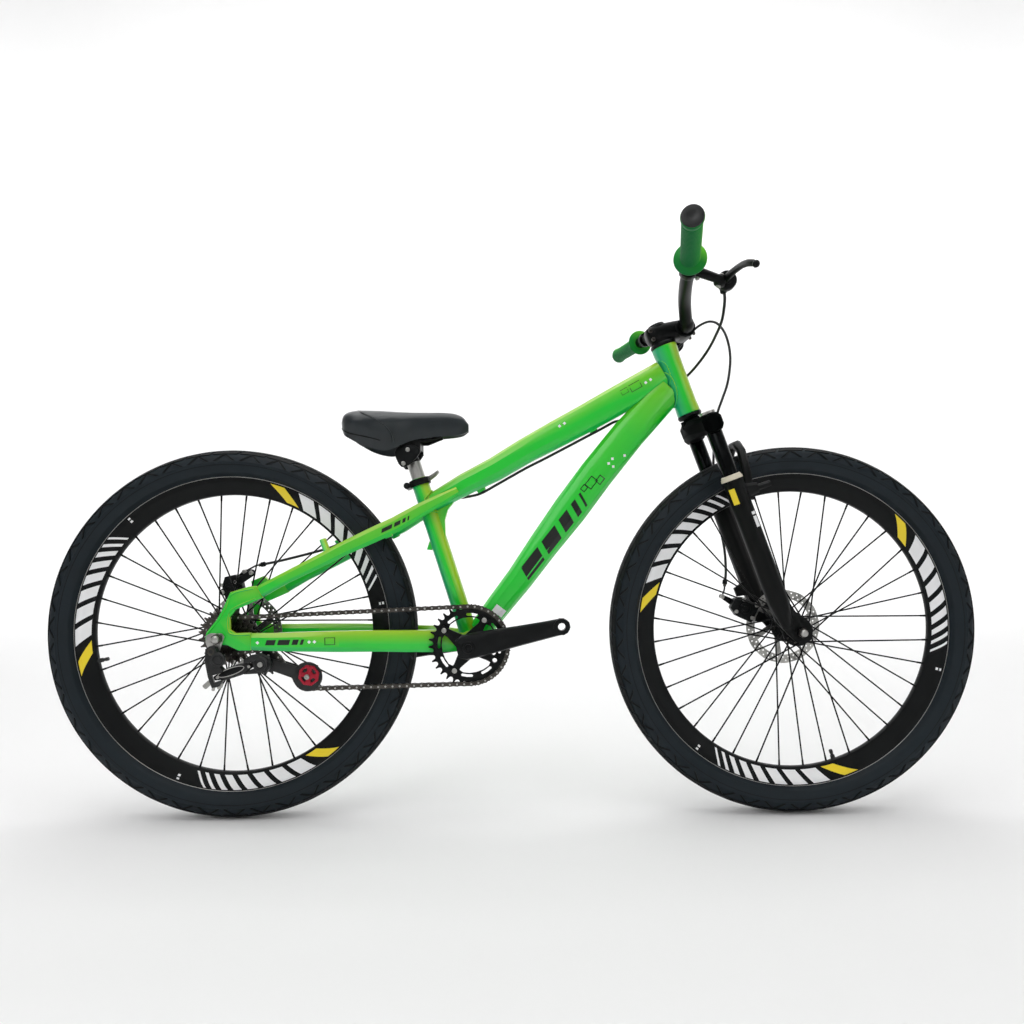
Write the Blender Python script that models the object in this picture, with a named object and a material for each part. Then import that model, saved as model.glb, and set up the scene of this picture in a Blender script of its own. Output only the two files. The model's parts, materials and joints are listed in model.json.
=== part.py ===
"""Freeride bike: welded frame, suspension fork, spoked wheels, chain drive and disc brakes.

Metres, +X forward, +Y to the rider's left, +Z up. The origin is on the ground, midway between the hubs.
Every rigid group hangs from an empty on its joint's axis, and its pieces keep their origins there.
"""

import math

import bmesh
import bpy
from mathutils import Matrix, Vector

# Layout of the bike
WHEELBASE = 1.025
WHEEL_RADIUS = 0.336
FORK_TILT = math.radians(20.4)
FORK_OFFSET = 0.035
AXLE_TO_HEAD_MIDDLE = 0.5046
SEAT_TILT = math.radians(17.5)
BRACKET_CENTRE = Vector((-0.0782, 0.0, 0.3175))
GAP = 0.0003

# Frame tubes
HEAD_TUBE_HALF_LENGTH = 0.066
HEADSET_HEIGHT = 0.0082
STEERER_RADIUS = 0.0143
SEAT_TUBE_LENGTH = 0.315
SEAT_TUBE_RADIUS = 0.0163
SHELL_RADIUS = 0.021
SHELL_HALF_WIDTH = 0.0365
POST_RADIUS = 0.0127
DROPOUT_INNER = 0.0678
DROPOUT_THICKNESS = 0.007
DROPOUT_MIDDLE = DROPOUT_INNER + DROPOUT_THICKNESS / 2

# Fork, measured down the steering axis from the middle of the head tube, and forward of it
LEG_SPREAD = 0.065
LEG_OFFSET = 0.012
CROWN_TOP = 0.083
CROWN_BOTTOM = 0.119
STANCHION_RADIUS = 0.014
STANCHION_END = 0.400
LOWER_TOP = 0.2075
LOWER_RADIUS = 0.0187
FORK_TRAVEL = 0.045

# Wheels
WHEEL_STEPS = 32
RIM_INNER_RADIUS = 0.2545
RIM_OUTER_RADIUS = 0.2865
SPOKE_COUNT = 36
SPOKE_RADIUS = 0.0012
SPOKE_CIRCLE = 0.022
CROSSINGS = 3
ROTOR_RADIUS = 0.070
FRONT_HALF_WIDTH = 0.050
REAR_HALF_WIDTH = 0.0675
AXLE_RADIUS = 0.005

# Chain drive
CHAIN_PITCH = 0.0127
CHAIN_LINE = -0.0478
RING_TEETH = 34
DRIVEN_TEETH = 16
PULLEY_TEETH = 11
COG_TEETH = (24, 21, 18, 16, 14, 13, 12)
COG_SPACING = 0.005
TOOTH_HALF_THICKNESS = 0.0009
ROLLER_HALF_LENGTH = 0.0024
CRANK_LENGTH = 0.166
CRANK_ANGLE = math.radians(12.5)
PEDAL_EYE_HALF = 0.0072
GUIDE_PULLEY_CENTRE = Vector((-0.439, CHAIN_LINE, 0.2907))
CAGE_LENGTH = 0.079

# Handlebar, one side, from its middle out
BAR_RADIUS = 0.0111
CLAMP_RADIUS = 0.0127
BAR_RUN = (
    (0.3168, 0.000, 0.8893),
    (0.3168, 0.030, 0.8893),
    (0.3110, 0.048, 0.8945),
    (0.3000, 0.088, 0.9120),
    (0.2880, 0.150, 0.9210),
    (0.2776, 0.225, 0.9302),
    (0.2484, 0.365, 0.9364),
)

ORIGIN = Vector((0, 0, 0))
REAR_HUB = Vector((-WHEELBASE / 2, 0, WHEEL_RADIUS))
FRONT_HUB = Vector((WHEELBASE / 2, 0, WHEEL_RADIUS))
DOWN_FORK = Vector((math.sin(FORK_TILT), 0, -math.cos(FORK_TILT)))
AHEAD_FORK = Vector((math.cos(FORK_TILT), 0, math.sin(FORK_TILT)))
HEAD_MIDDLE = FRONT_HUB - DOWN_FORK * AXLE_TO_HEAD_MIDDLE - AHEAD_FORK * FORK_OFFSET
UP_SEAT = Vector((-math.sin(SEAT_TILT), 0, math.cos(SEAT_TILT)))
SEAT_TOP = BRACKET_CENTRE + UP_SEAT * SEAT_TUBE_LENGTH
LEFT = Vector((0, 1, 0))

# Finishes: sRGB colour, roughness, metallic
FINISHES = {
    "green_paint": ("2FCB3E", 0.35, 0.0),
    "black_paint": ("0C0D0E", 0.35, 0.0),
    "black_anodised": ("17181A", 0.40, 0.6),
    "rubber": ("1B1D1F", 0.85, 0.0),
    "green_rubber": ("169A45", 0.60, 0.0),
    "steel": ("9C9C98", 0.35, 1.0),
    "dark_steel": ("4A4A48", 0.45, 1.0),
    "cream_plastic": ("CFC7B4", 0.50, 0.0),
    "black_plastic": ("121315", 0.50, 0.0),
    "red_plastic": ("B5132E", 0.40, 0.0),
    "saddle_cover": ("1A1D22", 0.55, 0.0),
    "cable_housing": ("101112", 0.45, 0.0),
}

bodies = {}


def clear_scene():
    for obj in list(bpy.data.objects):
        bpy.data.objects.remove(obj)


def finish(name):
    """The named material, made once."""
    if name in bpy.data.materials:
        return bpy.data.materials[name]
    code, roughness, metallic = FINISHES[name]
    channels = [int(code[i : i + 2], 16) / 255 for i in (0, 2, 4)]
    linear = [c / 12.92 if c < 0.04045 else ((c + 0.055) / 1.055) ** 2.4 for c in channels]
    material = bpy.data.materials.new(name)
    material.use_nodes = True
    shader = material.node_tree.nodes["Principled BSDF"]
    shader.inputs["Base Color"].default_value = (*linear, 1)
    shader.inputs["Roughness"].default_value = roughness
    shader.inputs["Metallic"].default_value = metallic
    material.diffuse_color = (*linear, 1)
    return material


def add_body(name, origin, parent=None):
    """An empty on a joint's axis, for the pieces that move with it."""
    empty = bpy.data.objects.new(name + "_axis", None)
    bpy.context.scene.collection.objects.link(empty)
    bodies[name] = (empty, Vector(origin))
    if parent:
        holder, holder_origin = bodies[parent]
        empty.parent = holder
        empty.location = Vector(origin) - holder_origin
    else:
        empty.location = origin


def add(name, bm, finish_name, body="frame", helper=False):
    """An object from a mesh in world coordinates, with its origin on its body's axis."""
    bmesh.ops.remove_doubles(bm, verts=bm.verts, dist=1e-6)
    bmesh.ops.recalc_face_normals(bm, faces=bm.faces)
    empty, origin = bodies[body]
    bmesh.ops.translate(bm, verts=bm.verts, vec=-origin)
    mesh = bpy.data.meshes.new(name)
    bm.to_mesh(mesh)
    bm.free()
    mesh.materials.append(finish(finish_name))
    mesh.shade_smooth()
    mesh.set_sharp_from_angle(angle=math.radians(40))
    obj = bpy.data.objects.new(name, mesh)
    bpy.context.scene.collection.objects.link(obj)
    obj.parent = empty
    if helper:
        obj.hide_render = True
        obj.display_type = "WIRE"
    return obj


def combine(target, operation, others):
    """Join other shapes to an object, or cut them from it. The others become wire helpers."""
    for other in others:
        other.hide_render = True
        other.display_type = "WIRE"
        modifier = target.modifiers.new(other.name, "BOOLEAN")
        modifier.operation = operation
        modifier.solver = "EXACT"
        modifier.object = other
    return target


def fork_point(down, ahead, left=0.0):
    """A point by its place down the steering axis, ahead of it, and to the left."""
    return HEAD_MIDDLE + DOWN_FORK * down + AHEAD_FORK * ahead + LEFT * left


def mirrored(point, side):
    return Vector((point[0], point[1] * side, point[2]))


def ring_points(count, squareness=2.0):
    """A round or squarish closed outline of half size one."""
    power = 2 / squareness
    points = []
    for step in range(count):
        angle = 2 * math.pi * (step + 0.5) / count
        across, up = math.cos(angle), math.sin(angle)
        points.append((math.copysign(abs(across) ** power, across), math.copysign(abs(up) ** power, up)))
    return points


def loft(sections, count=12, squareness=2.0, upright=Vector((0, 0, 1))):
    """A closed skin over sections given as (centre, half width, half height), square to their run."""
    bm = bmesh.new()
    centres = [Vector(section[0]) for section in sections]
    outline = ring_points(count, squareness)
    loops = []
    for index, (centre, half_width, half_height) in enumerate(sections):
        before = centres[max(index - 1, 0)]
        after = centres[min(index + 1, len(centres) - 1)]
        along = (after - before).normalized()
        side = along.cross(upright).normalized()
        up = side.cross(along)
        loops.append(
            [
                bm.verts.new(Vector(centre) + side * x * half_width + up * y * half_height)
                for x, y in outline
            ]
        )
    skin(bm, loops)
    return bm


def skin(bm, loops, capped=True):
    """Faces between successive loops of equal length, and over the two ends."""
    for lower, upper in zip(loops, loops[1:]):
        count = len(lower)
        for i in range(count):
            j = (i + 1) % count
            bm.faces.new((lower[i], lower[j], upper[j], upper[i]))
    if capped:
        bm.faces.new(list(reversed(loops[0])))
        bm.faces.new(loops[-1])


def turned(profile, centre, axis, steps=16, closed=False, start=0.5):
    """A profile of (distance along the axis, radius), turned round it. A closed one makes a ring."""
    bm = bmesh.new()
    axis = Vector(axis).normalized()
    across = axis.orthogonal().normalized() if abs(axis.y) < 0.9 else Vector((1, 0, 0))
    across = (across - axis * across.dot(axis)).normalized()
    third = axis.cross(across)
    loops = []
    for distance, radius in profile:
        foot = Vector(centre) + axis * distance
        if radius == 0:
            loops.append([bm.verts.new(foot)])
            continue
        loop = []
        for step in range(steps):
            angle = 2 * math.pi * (step + start) / steps
            loop.append(bm.verts.new(foot + (across * math.cos(angle) + third * math.sin(angle)) * radius))
        loops.append(loop)
    pairs = list(zip(loops, loops[1:]))
    if closed:
        pairs.append((loops[-1], loops[0]))
    for lower, upper in pairs:
        for i in range(steps):
            j = (i + 1) % steps
            if len(lower) == 1 and len(upper) == 1:
                break
            if len(lower) == 1:
                bm.faces.new((lower[0], upper[j], upper[i]))
            elif len(upper) == 1:
                bm.faces.new((lower[i], lower[j], upper[0]))
            else:
                bm.faces.new((lower[i], lower[j], upper[j], upper[i]))
    if not closed:
        for loop in (loops[0], loops[-1]):
            if len(loop) > 1:
                bm.faces.new(loop)
    return bm


def rod(start, end, radius, steps=12):
    """A plain round bar between two points."""
    run = Vector(end) - Vector(start)
    return turned([(0, radius), (run.length, radius)], start, run, steps)


def circle(radius, count, centre=(0, 0), phase=0.0):
    return [
        (
            centre[0] + radius * math.cos(2 * math.pi * i / count + phase),
            centre[1] + radius * math.sin(2 * math.pi * i / count + phase),
        )
        for i in range(count)
    ]


def plate(outline, holes, thickness, place):
    """A flat plate with holes. The outline is drawn in millimetres, so that the filling is exact."""
    if not holes:
        return slab(outline, thickness, place)
    curve = bpy.data.curves.new("outline", "CURVE")
    curve.dimensions = "2D"
    curve.fill_mode = "BOTH"
    curve.extrude = thickness * 500
    for loop in [outline, *holes]:
        spline = curve.splines.new("POLY")
        spline.points.add(len(loop) - 1)
        for point, (x, y) in zip(spline.points, loop):
            point.co = (x * 1000, y * 1000, 0, 1)
        spline.use_cyclic_u = True
    drawn = bpy.data.objects.new("outline", curve)
    bpy.context.scene.collection.objects.link(drawn)
    filled = bpy.data.meshes.new_from_object(drawn.evaluated_get(bpy.context.evaluated_depsgraph_get()))
    bm = bmesh.new()
    bm.from_mesh(filled)
    bmesh.ops.remove_doubles(bm, verts=bm.verts, dist=1e-4)
    bmesh.ops.transform(bm, verts=bm.verts, matrix=place @ Matrix.Scale(0.001, 4))
    bpy.data.objects.remove(drawn)
    bpy.data.curves.remove(curve)
    bpy.data.meshes.remove(filled)
    return bm


def slab(outline, thickness, place):
    """A flat plate without holes."""
    bm = bmesh.new()
    low = [bm.verts.new((x, y, -thickness / 2)) for x, y in outline]
    high = [bm.verts.new((x, y, thickness / 2)) for x, y in outline]
    skin(bm, [low, high])
    bmesh.ops.transform(bm, verts=bm.verts, matrix=place)
    return bm


def upright(x, y, z):
    """A plate's place: its outline stands along the bike, seen from the right."""
    return Matrix(((1, 0, 0, x), (0, 0, -1, y), (0, 1, 0, z), (0, 0, 0, 1)))


def block(low, high):
    bm = bmesh.new()
    bmesh.ops.create_cube(bm, size=1)
    size = Vector(high) - Vector(low)
    bmesh.ops.scale(bm, vec=size, verts=bm.verts)
    bmesh.ops.translate(bm, vec=(Vector(high) + Vector(low)) / 2, verts=bm.verts)
    return bm


def smooth_run(points, spacing):
    """Points at even steps along a smooth curve through the given ones (Catmull-Rom)."""
    points = [Vector(p) for p in points]
    ends = [points[0] * 2 - points[1], *points, points[-1] * 2 - points[-2]]
    fine = []
    for a, b, c, d in zip(ends, ends[1:], ends[2:], ends[3:]):
        for step in range(24):
            t = step / 24
            fine.append(
                0.5
                * (
                    b * 2
                    + (c - a) * t
                    + (a * 2 - b * 5 + c * 4 - d) * t**2
                    + (b * 3 - a - c * 3 + d) * t**3
                )
            )
    fine.append(points[-1])
    lengths = [0.0]
    for a, b in zip(fine, fine[1:]):
        lengths.append(lengths[-1] + (b - a).length)
    count = max(2, round(lengths[-1] / spacing))
    run, index = [], 0
    for step in range(count + 1):
        goal = lengths[-1] * step / count
        while index < len(fine) - 2 and lengths[index + 1] < goal:
            index += 1
        span = lengths[index + 1] - lengths[index]
        run.append(fine[index].lerp(fine[index + 1], (goal - lengths[index]) / span if span else 0))
    return run


# Frame


def make_head_tube():
    half = HEAD_TUBE_HALF_LENGTH
    bore = STEERER_RADIUS + 0.002
    profile = [
        (-half, bore),
        (-half, 0.0232),
        (-0.040, 0.0216),
        (0.045, 0.0205),
        (half, 0.0213),
        (half, bore),
    ]
    add("head_tube", turned(profile, HEAD_MIDDLE, DOWN_FORK, 16, closed=True), "green_paint")
    for name, near, radius in (("headset_upper", -1, 0.0235), ("headset_lower", 1, 0.0220)):
        start = near * (half + GAP)
        end = near * (half + HEADSET_HEIGHT)
        cup = [(start, bore), (start, radius), (end, radius - 0.0015), (end, bore)]
        add(name, turned(cup, HEAD_MIDDLE, DOWN_FORK, 16, closed=True), "black_anodised")


def head_cutter(name):
    return add(name, rod(fork_point(-0.09, 0), fork_point(0.09, 0), 0.0239, 16), "green_paint", helper=True)


def seat_cutter(name):
    ends = BRACKET_CENTRE, BRACKET_CENTRE + UP_SEAT * (SEAT_TUBE_LENGTH + 0.05)
    return add(name, rod(*ends, SEAT_TUBE_RADIUS + 0.0006, 16), "green_paint", helper=True)


def shell_cutter(name):
    width = LEFT * (SHELL_HALF_WIDTH + 0.02)
    ends = BRACKET_CENTRE - width, BRACKET_CENTRE + width
    return add(name, rod(*ends, SHELL_RADIUS + 0.0006, 16), "green_paint", helper=True)


DOWN_TUBE = (
    (-0.0620, 0.3380, 0.022, 0.0215),
    (-0.0269, 0.3842, 0.022, 0.0235),
    (0.0123, 0.4338, 0.024, 0.0255),
    (0.0560, 0.4945, 0.026, 0.0285),
    (0.1050, 0.5590, 0.026, 0.0322),
    (0.1530, 0.6231, 0.025, 0.0322),
    (0.2127, 0.6966, 0.022, 0.0315),
    (0.2900, 0.7800, 0.017, 0.0290),
)
TOP_TUBE = (
    (-0.1560, 0.5690, 0.016, 0.0170),
    (-0.0880, 0.6070, 0.019, 0.0205),
    (-0.0325, 0.6343, 0.021, 0.0224),
    (0.0231, 0.6672, 0.021, 0.0236),
    (0.0787, 0.6969, 0.021, 0.0254),
    (0.1343, 0.7261, 0.021, 0.0264),
    (0.1900, 0.7572, 0.020, 0.0270),
    (0.2780, 0.8070, 0.016, 0.0262),
)


def frame_tube(name, stations):
    sections = [((x, 0, z), half_width, half_height) for x, z, half_width, half_height in stations]
    return add(name, loft(sections, 12, 2.6), "green_paint")


def make_main_tubes():
    down = frame_tube("down_tube", DOWN_TUBE)
    cuts = [head_cutter("down_head_cut"), shell_cutter("down_shell_cut"), seat_cutter("down_seat_cut")]
    combine(down, "DIFFERENCE", cuts)
    top = frame_tube("top_tube", TOP_TUBE)
    grown = [
        (x, z, half_width + 0.0006, half_height + 0.0006) for x, z, half_width, half_height in DOWN_TUBE
    ]
    under = frame_tube("top_down_cut", grown)
    combine(top, "DIFFERENCE", [head_cutter("top_head_cut"), seat_cutter("top_seat_cut"), under])


def make_seat_tube():
    """The seat tube with its bore for the post, and the web that braces the top tube from below."""
    bore = POST_RADIUS + 0.0003
    bore_end = SEAT_TUBE_LENGTH - 0.20
    profile = [
        (SHELL_RADIUS - 0.004, 0),
        (SHELL_RADIUS - 0.004, SEAT_TUBE_RADIUS),
        (SEAT_TUBE_LENGTH, SEAT_TUBE_RADIUS - 0.0004),
        (SEAT_TUBE_LENGTH, bore),
        (bore_end, bore),
        (bore_end, 0),
    ]
    tube = add("seat_tube", turned(profile, BRACKET_CENTRE, UP_SEAT, 16), "green_paint")
    web = [
        (-0.1500, 0.5720),
        (-0.1000, 0.5940),
        (-0.0990, 0.5860),
        (-0.1066, 0.5765),
        (-0.1197, 0.5602),
        (-0.1250, 0.5418),
        (-0.1240, 0.5141),
        (-0.1215, 0.4980),
        (-0.1330, 0.5000),
    ]
    brace = add("seat_web", plate(web, [], 0.014, upright(0, 0, 0)), "green_paint", helper=True)
    grown = [
        ((x, 0, z), half_width + 0.0004, half_height + 0.0004)
        for x, z, half_width, half_height in TOP_TUBE[:4]
    ]
    over = add("web_top_cut", loft(grown, 12, 2.6), "green_paint", helper=True)
    combine(brace, "DIFFERENCE", [over])
    inner = add("web_bore_cut", rod(BRACKET_CENTRE, SEAT_TOP, 0.0145, 10), "green_paint", helper=True)
    combine(brace, "DIFFERENCE", [inner])
    combine(tube, "UNION", [brace])
    combine(tube, "DIFFERENCE", [shell_cutter("seat_shell_cut")])


def make_shell():
    """Bottom bracket shell with the two bearing cups screwed home in it."""
    half, bore = SHELL_HALF_WIDTH, 0.0108
    profile = [
        (-half, bore),
        (-half, 0.0190),
        (-half + 0.0015, SHELL_RADIUS),
        (half - 0.0015, SHELL_RADIUS),
        (half, 0.0190),
        (half, bore),
    ]
    add("bb_shell", turned(profile, BRACKET_CENTRE, LEFT, 16, closed=True), "green_paint")


SEAT_STAY = (
    (-0.4400, 0.0712, 0.4170, 0.0075, 0.0112),
    (-0.3998, 0.0690, 0.4390, 0.0080, 0.0106),
    (-0.3483, 0.0610, 0.4650, 0.0085, 0.0118),
    (-0.2978, 0.0520, 0.4915, 0.0085, 0.0132),
    (-0.2500, 0.0450, 0.5140, 0.0085, 0.0146),
    (-0.2100, 0.0345, 0.5335, 0.0085, 0.0148),
    (-0.1671, 0.0262, 0.5587, 0.0080, 0.0135),
    (-0.1310, 0.0225, 0.5779, 0.0070, 0.0110),
    (-0.1000, 0.0200, 0.5950, 0.0050, 0.0070),
)
CHAIN_STAY = (
    (-0.4555, 0.0712, 0.3300, 0.0070, 0.0155),
    (-0.4200, 0.0705, 0.3290, 0.0075, 0.0165),
    (-0.3744, 0.0670, 0.3285, 0.0085, 0.0180),
    (-0.3066, 0.0590, 0.3274, 0.0085, 0.0195),
    (-0.2400, 0.0490, 0.3265, 0.0085, 0.0200),
    (-0.1900, 0.0405, 0.3245, 0.0085, 0.0205),
    (-0.1442, 0.0330, 0.3235, 0.0090, 0.0210),
    (-0.0900, 0.0255, 0.3200, 0.0090, 0.0170),
)


def stay_loft(stations, side, growth=0.0):
    sections = [((x, y * side, z), w + growth, h + growth) for x, y, z, w, h in stations]
    return loft(sections, 8, 2.6)


def make_stays():
    for name, side in (("left", 1), ("right", -1)):
        upper = add("seatstay_" + name, stay_loft(SEAT_STAY, side), "green_paint")
        post_foot = Vector((-0.324, 0.0575 * side, 0.4760))
        post_tip = post_foot + Vector((-0.0125, -0.006 * side, 0.0310))
        post = add("seatstay_post_" + name, rod(post_foot, post_tip, 0.0062, 8), "green_paint", helper=True)
        combine(upper, "UNION", [post])
        grown = [
            ((x, 0, z), half_width + 0.0004, half_height + 0.0004)
            for x, z, half_width, half_height in TOP_TUBE
        ]
        over = add("stay_top_cut_" + name, loft(grown[:5], 12, 2.6), "green_paint", helper=True)
        combine(upper, "DIFFERENCE", [over, seat_cutter("stay_seat_cut_" + name)])
        lower = add("chainstay_" + name, stay_loft(CHAIN_STAY, side), "green_paint")
        combine(lower, "DIFFERENCE", [shell_cutter("stay_shell_cut_" + name)])


DROPOUT_OUTLINE = (
    (0.0661, 0.0908),
    (0.0530, 0.0900),
    (0.0206, 0.0802),
    (0.0085, 0.0530),
    (-0.0026, 0.0335),
    (-0.0215, 0.0100),
    (-0.0235, -0.0020),
    (-0.0150, -0.0120),
    (-0.0058, -0.0158),
    (-0.0058, 0.0000),
    (-0.0041, 0.0041),
    (0.0000, 0.0058),
    (0.0041, 0.0041),
    (0.0058, 0.0000),
    (0.0058, -0.0110),
    (0.0150, -0.0120),
    (0.0340, -0.0215),
    (0.0562, -0.0215),
    (0.0562, 0.0095),
    (0.0290, 0.0090),
    (0.0200, 0.0150),
    (0.0195, 0.0370),
    (0.0300, 0.0500),
    (0.0773, 0.0703),
)


def make_dropouts():
    """Plates with a slot for the axle and a window towards the stays, and a brake mount on the left one."""
    for name, side in (("left", 1), ("right", -1)):
        place = upright(REAR_HUB.x, DROPOUT_MIDDLE * side, REAR_HUB.z)
        made = add(
            "dropout_" + name, plate(list(DROPOUT_OUTLINE), [], DROPOUT_THICKNESS, place), "green_paint"
        )
        if side > 0:
            mount = [(0.010, 0.070), (0.046, 0.088), (0.030, 0.102), (0.006, 0.092)]
            place = upright(REAR_HUB.x, 0.0700, REAR_HUB.z)
            combine(made, "UNION", [
                add("brake_mount", plate(mount, [], 0.0112, place), "green_paint", helper=True)
            ])
    hanger = [
        (-0.0200, 0.0060),
        (-0.0120, 0.0095),
        (0.0070, 0.0090),
        (0.0110, 0.0030),
        (0.0060, -0.0120),
        (0.0020, -0.0235),
        (-0.0090, -0.0285),
        (-0.0160, -0.0200),
        (-0.0215, -0.0060),
    ]
    holes = [circle(0.0057, 10), circle(0.0044, 8, (-0.0070, -0.0205))]
    place = upright(REAR_HUB.x, -(DROPOUT_INNER + DROPOUT_THICKNESS + GAP + 0.0015), REAR_HUB.z)
    add("derailleur_hanger", plate(hanger, holes, 0.003, place), "steel")


# Seat


def make_seat():
    collar_low = SEAT_TUBE_LENGTH - 0.013
    outer = SEAT_TUBE_RADIUS + 0.0035
    inner = SEAT_TUBE_RADIUS + 0.0004
    profile = [
        (collar_low, inner), (collar_low, outer), (collar_low + 0.012, outer), (collar_low + 0.012, inner)
    ]
    collar = add("seat_clamp", turned(profile, BRACKET_CENTRE, UP_SEAT, 12, closed=True), "black_anodised")
    bolt_middle = BRACKET_CENTRE + UP_SEAT * (collar_low + 0.006) + Vector((-0.0225, 0, -0.007))
    ears = add(
        "collar_ears",
        rod(bolt_middle - LEFT * 0.0135, bolt_middle + LEFT * 0.0135, 0.0062, 8),
        "black_anodised",
    )
    keep_out = add(
        "collar_cut", rod(BRACKET_CENTRE, SEAT_TOP + UP_SEAT * 0.05, inner, 16), "black_anodised"
    )
    combine(collar, "UNION", [ears])
    combine(collar, "DIFFERENCE", [keep_out])
    hinge = bodies["qr_lever"][1]
    run = [
        hinge,
        hinge + Vector((0.014, 0.0060, 0.0050)),
        hinge + Vector((0.032, 0.0060, 0.0130)),
        hinge + Vector((0.048, 0.0000, 0.0230)),
        hinge + Vector((0.055, -0.0050, 0.0285)),
    ]
    blade = loft(
        list(zip(run, (0.0035, 0.0032, 0.0030, 0.0028, 0.0022), (0.0055, 0.0055, 0.0050, 0.0045, 0.0032))),
        8,
    )
    lever = add("qr_lever", blade, "steel", "qr_lever")
    cam = add(
        "qr_cam", rod(hinge - UP_SEAT * 0.0058, hinge + UP_SEAT * 0.0058, 0.0045, 10), "steel", "qr_lever"
    )
    combine(lever, "UNION", [cam])
    make_post()
    make_saddle()


CLAMP_HEIGHT = 0.3680
HEAD_RADIUS = 0.0105


def make_post():
    """Post with a round head across the bike, on which the saddle clamp tilts."""
    head = BRACKET_CENTRE + UP_SEAT * CLAMP_HEIGHT
    foot = SEAT_TUBE_LENGTH - 0.165
    profile = [
        (foot, 0), (foot, POST_RADIUS), (CLAMP_HEIGHT - 0.022, POST_RADIUS), (CLAMP_HEIGHT - 0.006, 0.0095)
    ]
    post = add("seatpost", turned(profile, BRACKET_CENTRE, UP_SEAT, 16), "steel", "seatpost")
    across = add(
        "post_head", rod(head - LEFT * 0.017, head + LEFT * 0.017, HEAD_RADIUS, 16), "steel", "seatpost"
    )
    combine(post, "UNION", [across])


SADDLE = (
    # distance from the tail, half width, top, bottom of the side wings, underside between them
    (0.0000, 0.0440, 0.7245, 0.7000, 0.7030),
    (0.0055, 0.0580, 0.7340, 0.6920, 0.7010),
    (0.0180, 0.0680, 0.7388, 0.6840, 0.7000),
    (0.0370, 0.0725, 0.7402, 0.6740, 0.7000),
    (0.0570, 0.0700, 0.7402, 0.6675, 0.7000),
    (0.0795, 0.0600, 0.7398, 0.6650, 0.7000),
    (0.1000, 0.0450, 0.7392, 0.6740, 0.7000),
    (0.1230, 0.0340, 0.7388, 0.6850, 0.7000),
    (0.1480, 0.0270, 0.7388, 0.6900, 0.7000),
    (0.1730, 0.0235, 0.7388, 0.6930, 0.7000),
    (0.1980, 0.0210, 0.7365, 0.6950, 0.7000),
    (0.2130, 0.0165, 0.7300, 0.6980, 0.7010),
    (0.2230, 0.0080, 0.7180, 0.7040, 0.7050),
)
SADDLE_TAIL = -0.3037


def saddle_section(distance, half_width, top, wing, under):
    """A crowned top, full shoulders, sides drawn in to the seam and down to the wings, open below."""
    seam = top - 0.42 * (top - min(wing, under))
    half = []
    for step in range(6):
        angle = math.pi / 2 * step / 5
        half.append((half_width * math.sin(angle) ** 0.8, seam + (top - seam) * math.cos(angle) ** 0.9))
    half[0] = (half_width * 0.10, top)
    half.append((half_width * 0.93, (seam + wing) / 2))
    half.append((half_width * 0.80, wing))
    half.append((half_width * 0.66, wing * 0.4 + under * 0.6))
    half.append((half_width * 0.52, under))
    loop = half + [(-y, z) for y, z in reversed(half)]
    return [Vector((SADDLE_TAIL + distance, y, z)) for y, z in loop]


def make_saddle():
    bm = bmesh.new()
    loops = [[bm.verts.new(point) for point in saddle_section(*station)] for station in SADDLE]
    skin(bm, loops)
    add("saddle", bm, "saddle_cover", "saddle")
    head = BRACKET_CENTRE + UP_SEAT * CLAMP_HEIGHT
    rail_run = [(-0.268, 0.031, 0.6955), (-0.252, 0.028, 0.6870), (-0.228, 0.0215, 0.6840)]
    rail_run += [(-0.158, 0.0185, 0.6845), (-0.130, 0.012, 0.6945)]
    rails = None
    for side in (1, -1):
        line = loft([(mirrored(point, side), 0.0035, 0.0035) for point in rail_run], 6)
        bar = add("rail_%d" % side, line, "black_paint", "saddle")
        if rails is None:
            rails = bar
            rails.name = "saddle_rails"
        else:
            combine(rails, "UNION", [bar])
    low = head + Vector((-0.016, -0.0235, -0.004))
    high = head + Vector((0.022, 0.0235, 0.0195))
    cradle = add("clamp_body", block(low, high), "black_paint", "saddle")
    seat_cut = add(
        "clamp_cut",
        rod(head - LEFT * 0.0175, head + LEFT * 0.0175, HEAD_RADIUS + 0.0006, 16),
        "black_paint",
        "saddle"
    )
    below = add(
        "clamp_below_cut",
        block(head + Vector((-0.02, -0.0175, -0.03)), head + Vector((0.03, 0.0175, 0.0005))),
        "black_paint",
        "saddle",
    )
    combine(cradle, "DIFFERENCE", [seat_cut, below])
    combine(rails, "UNION", [cradle])


# Wheels


def make_tyre(name, hub, body):
    """Casing and inner tube together, with a flat tread centre and rounded shoulders."""
    half = [
        (0.0150, 0.2870),
        (0.0290, 0.3060),
        (0.0242, 0.3265),
        (0.0095, WHEEL_RADIUS),
    ]
    profile = half + [(-y, r) for y, r in reversed(half)]
    flat = 1 / math.cos(math.pi / WHEEL_STEPS)
    profile = [(y, r * flat) for y, r in profile]
    add(name, turned(profile, hub, LEFT, WHEEL_STEPS, closed=True, start=0.5), "rubber", body)


def make_rim(name, hub, body, valve_angle):
    flat = 1 / math.cos(math.pi / WHEEL_STEPS)
    profile = [
        (0.0058, RIM_INNER_RADIUS),
        (0.0150, RIM_INNER_RADIUS + 0.022),
        (0.0150, RIM_OUTER_RADIUS),
        (-0.0150, RIM_OUTER_RADIUS),
        (-0.0150, RIM_INNER_RADIUS + 0.022),
        (-0.0058, RIM_INNER_RADIUS),
    ]
    profile = [(y, r * flat) for y, r in profile]
    rim = add(name, turned(profile, hub, LEFT, WHEEL_STEPS, closed=True, start=0.5), "black_anodised", body)
    inward = Vector((-math.cos(valve_angle), 0, -math.sin(valve_angle)))
    foot = hub - inward * (RIM_INNER_RADIUS + 0.006)
    valve = turned([(0, 0.0032), (0.040, 0.0032)], foot, inward, 6)
    combine(rim, "UNION", [add(name + "_valve", valve, "black_plastic", body)])


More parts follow.
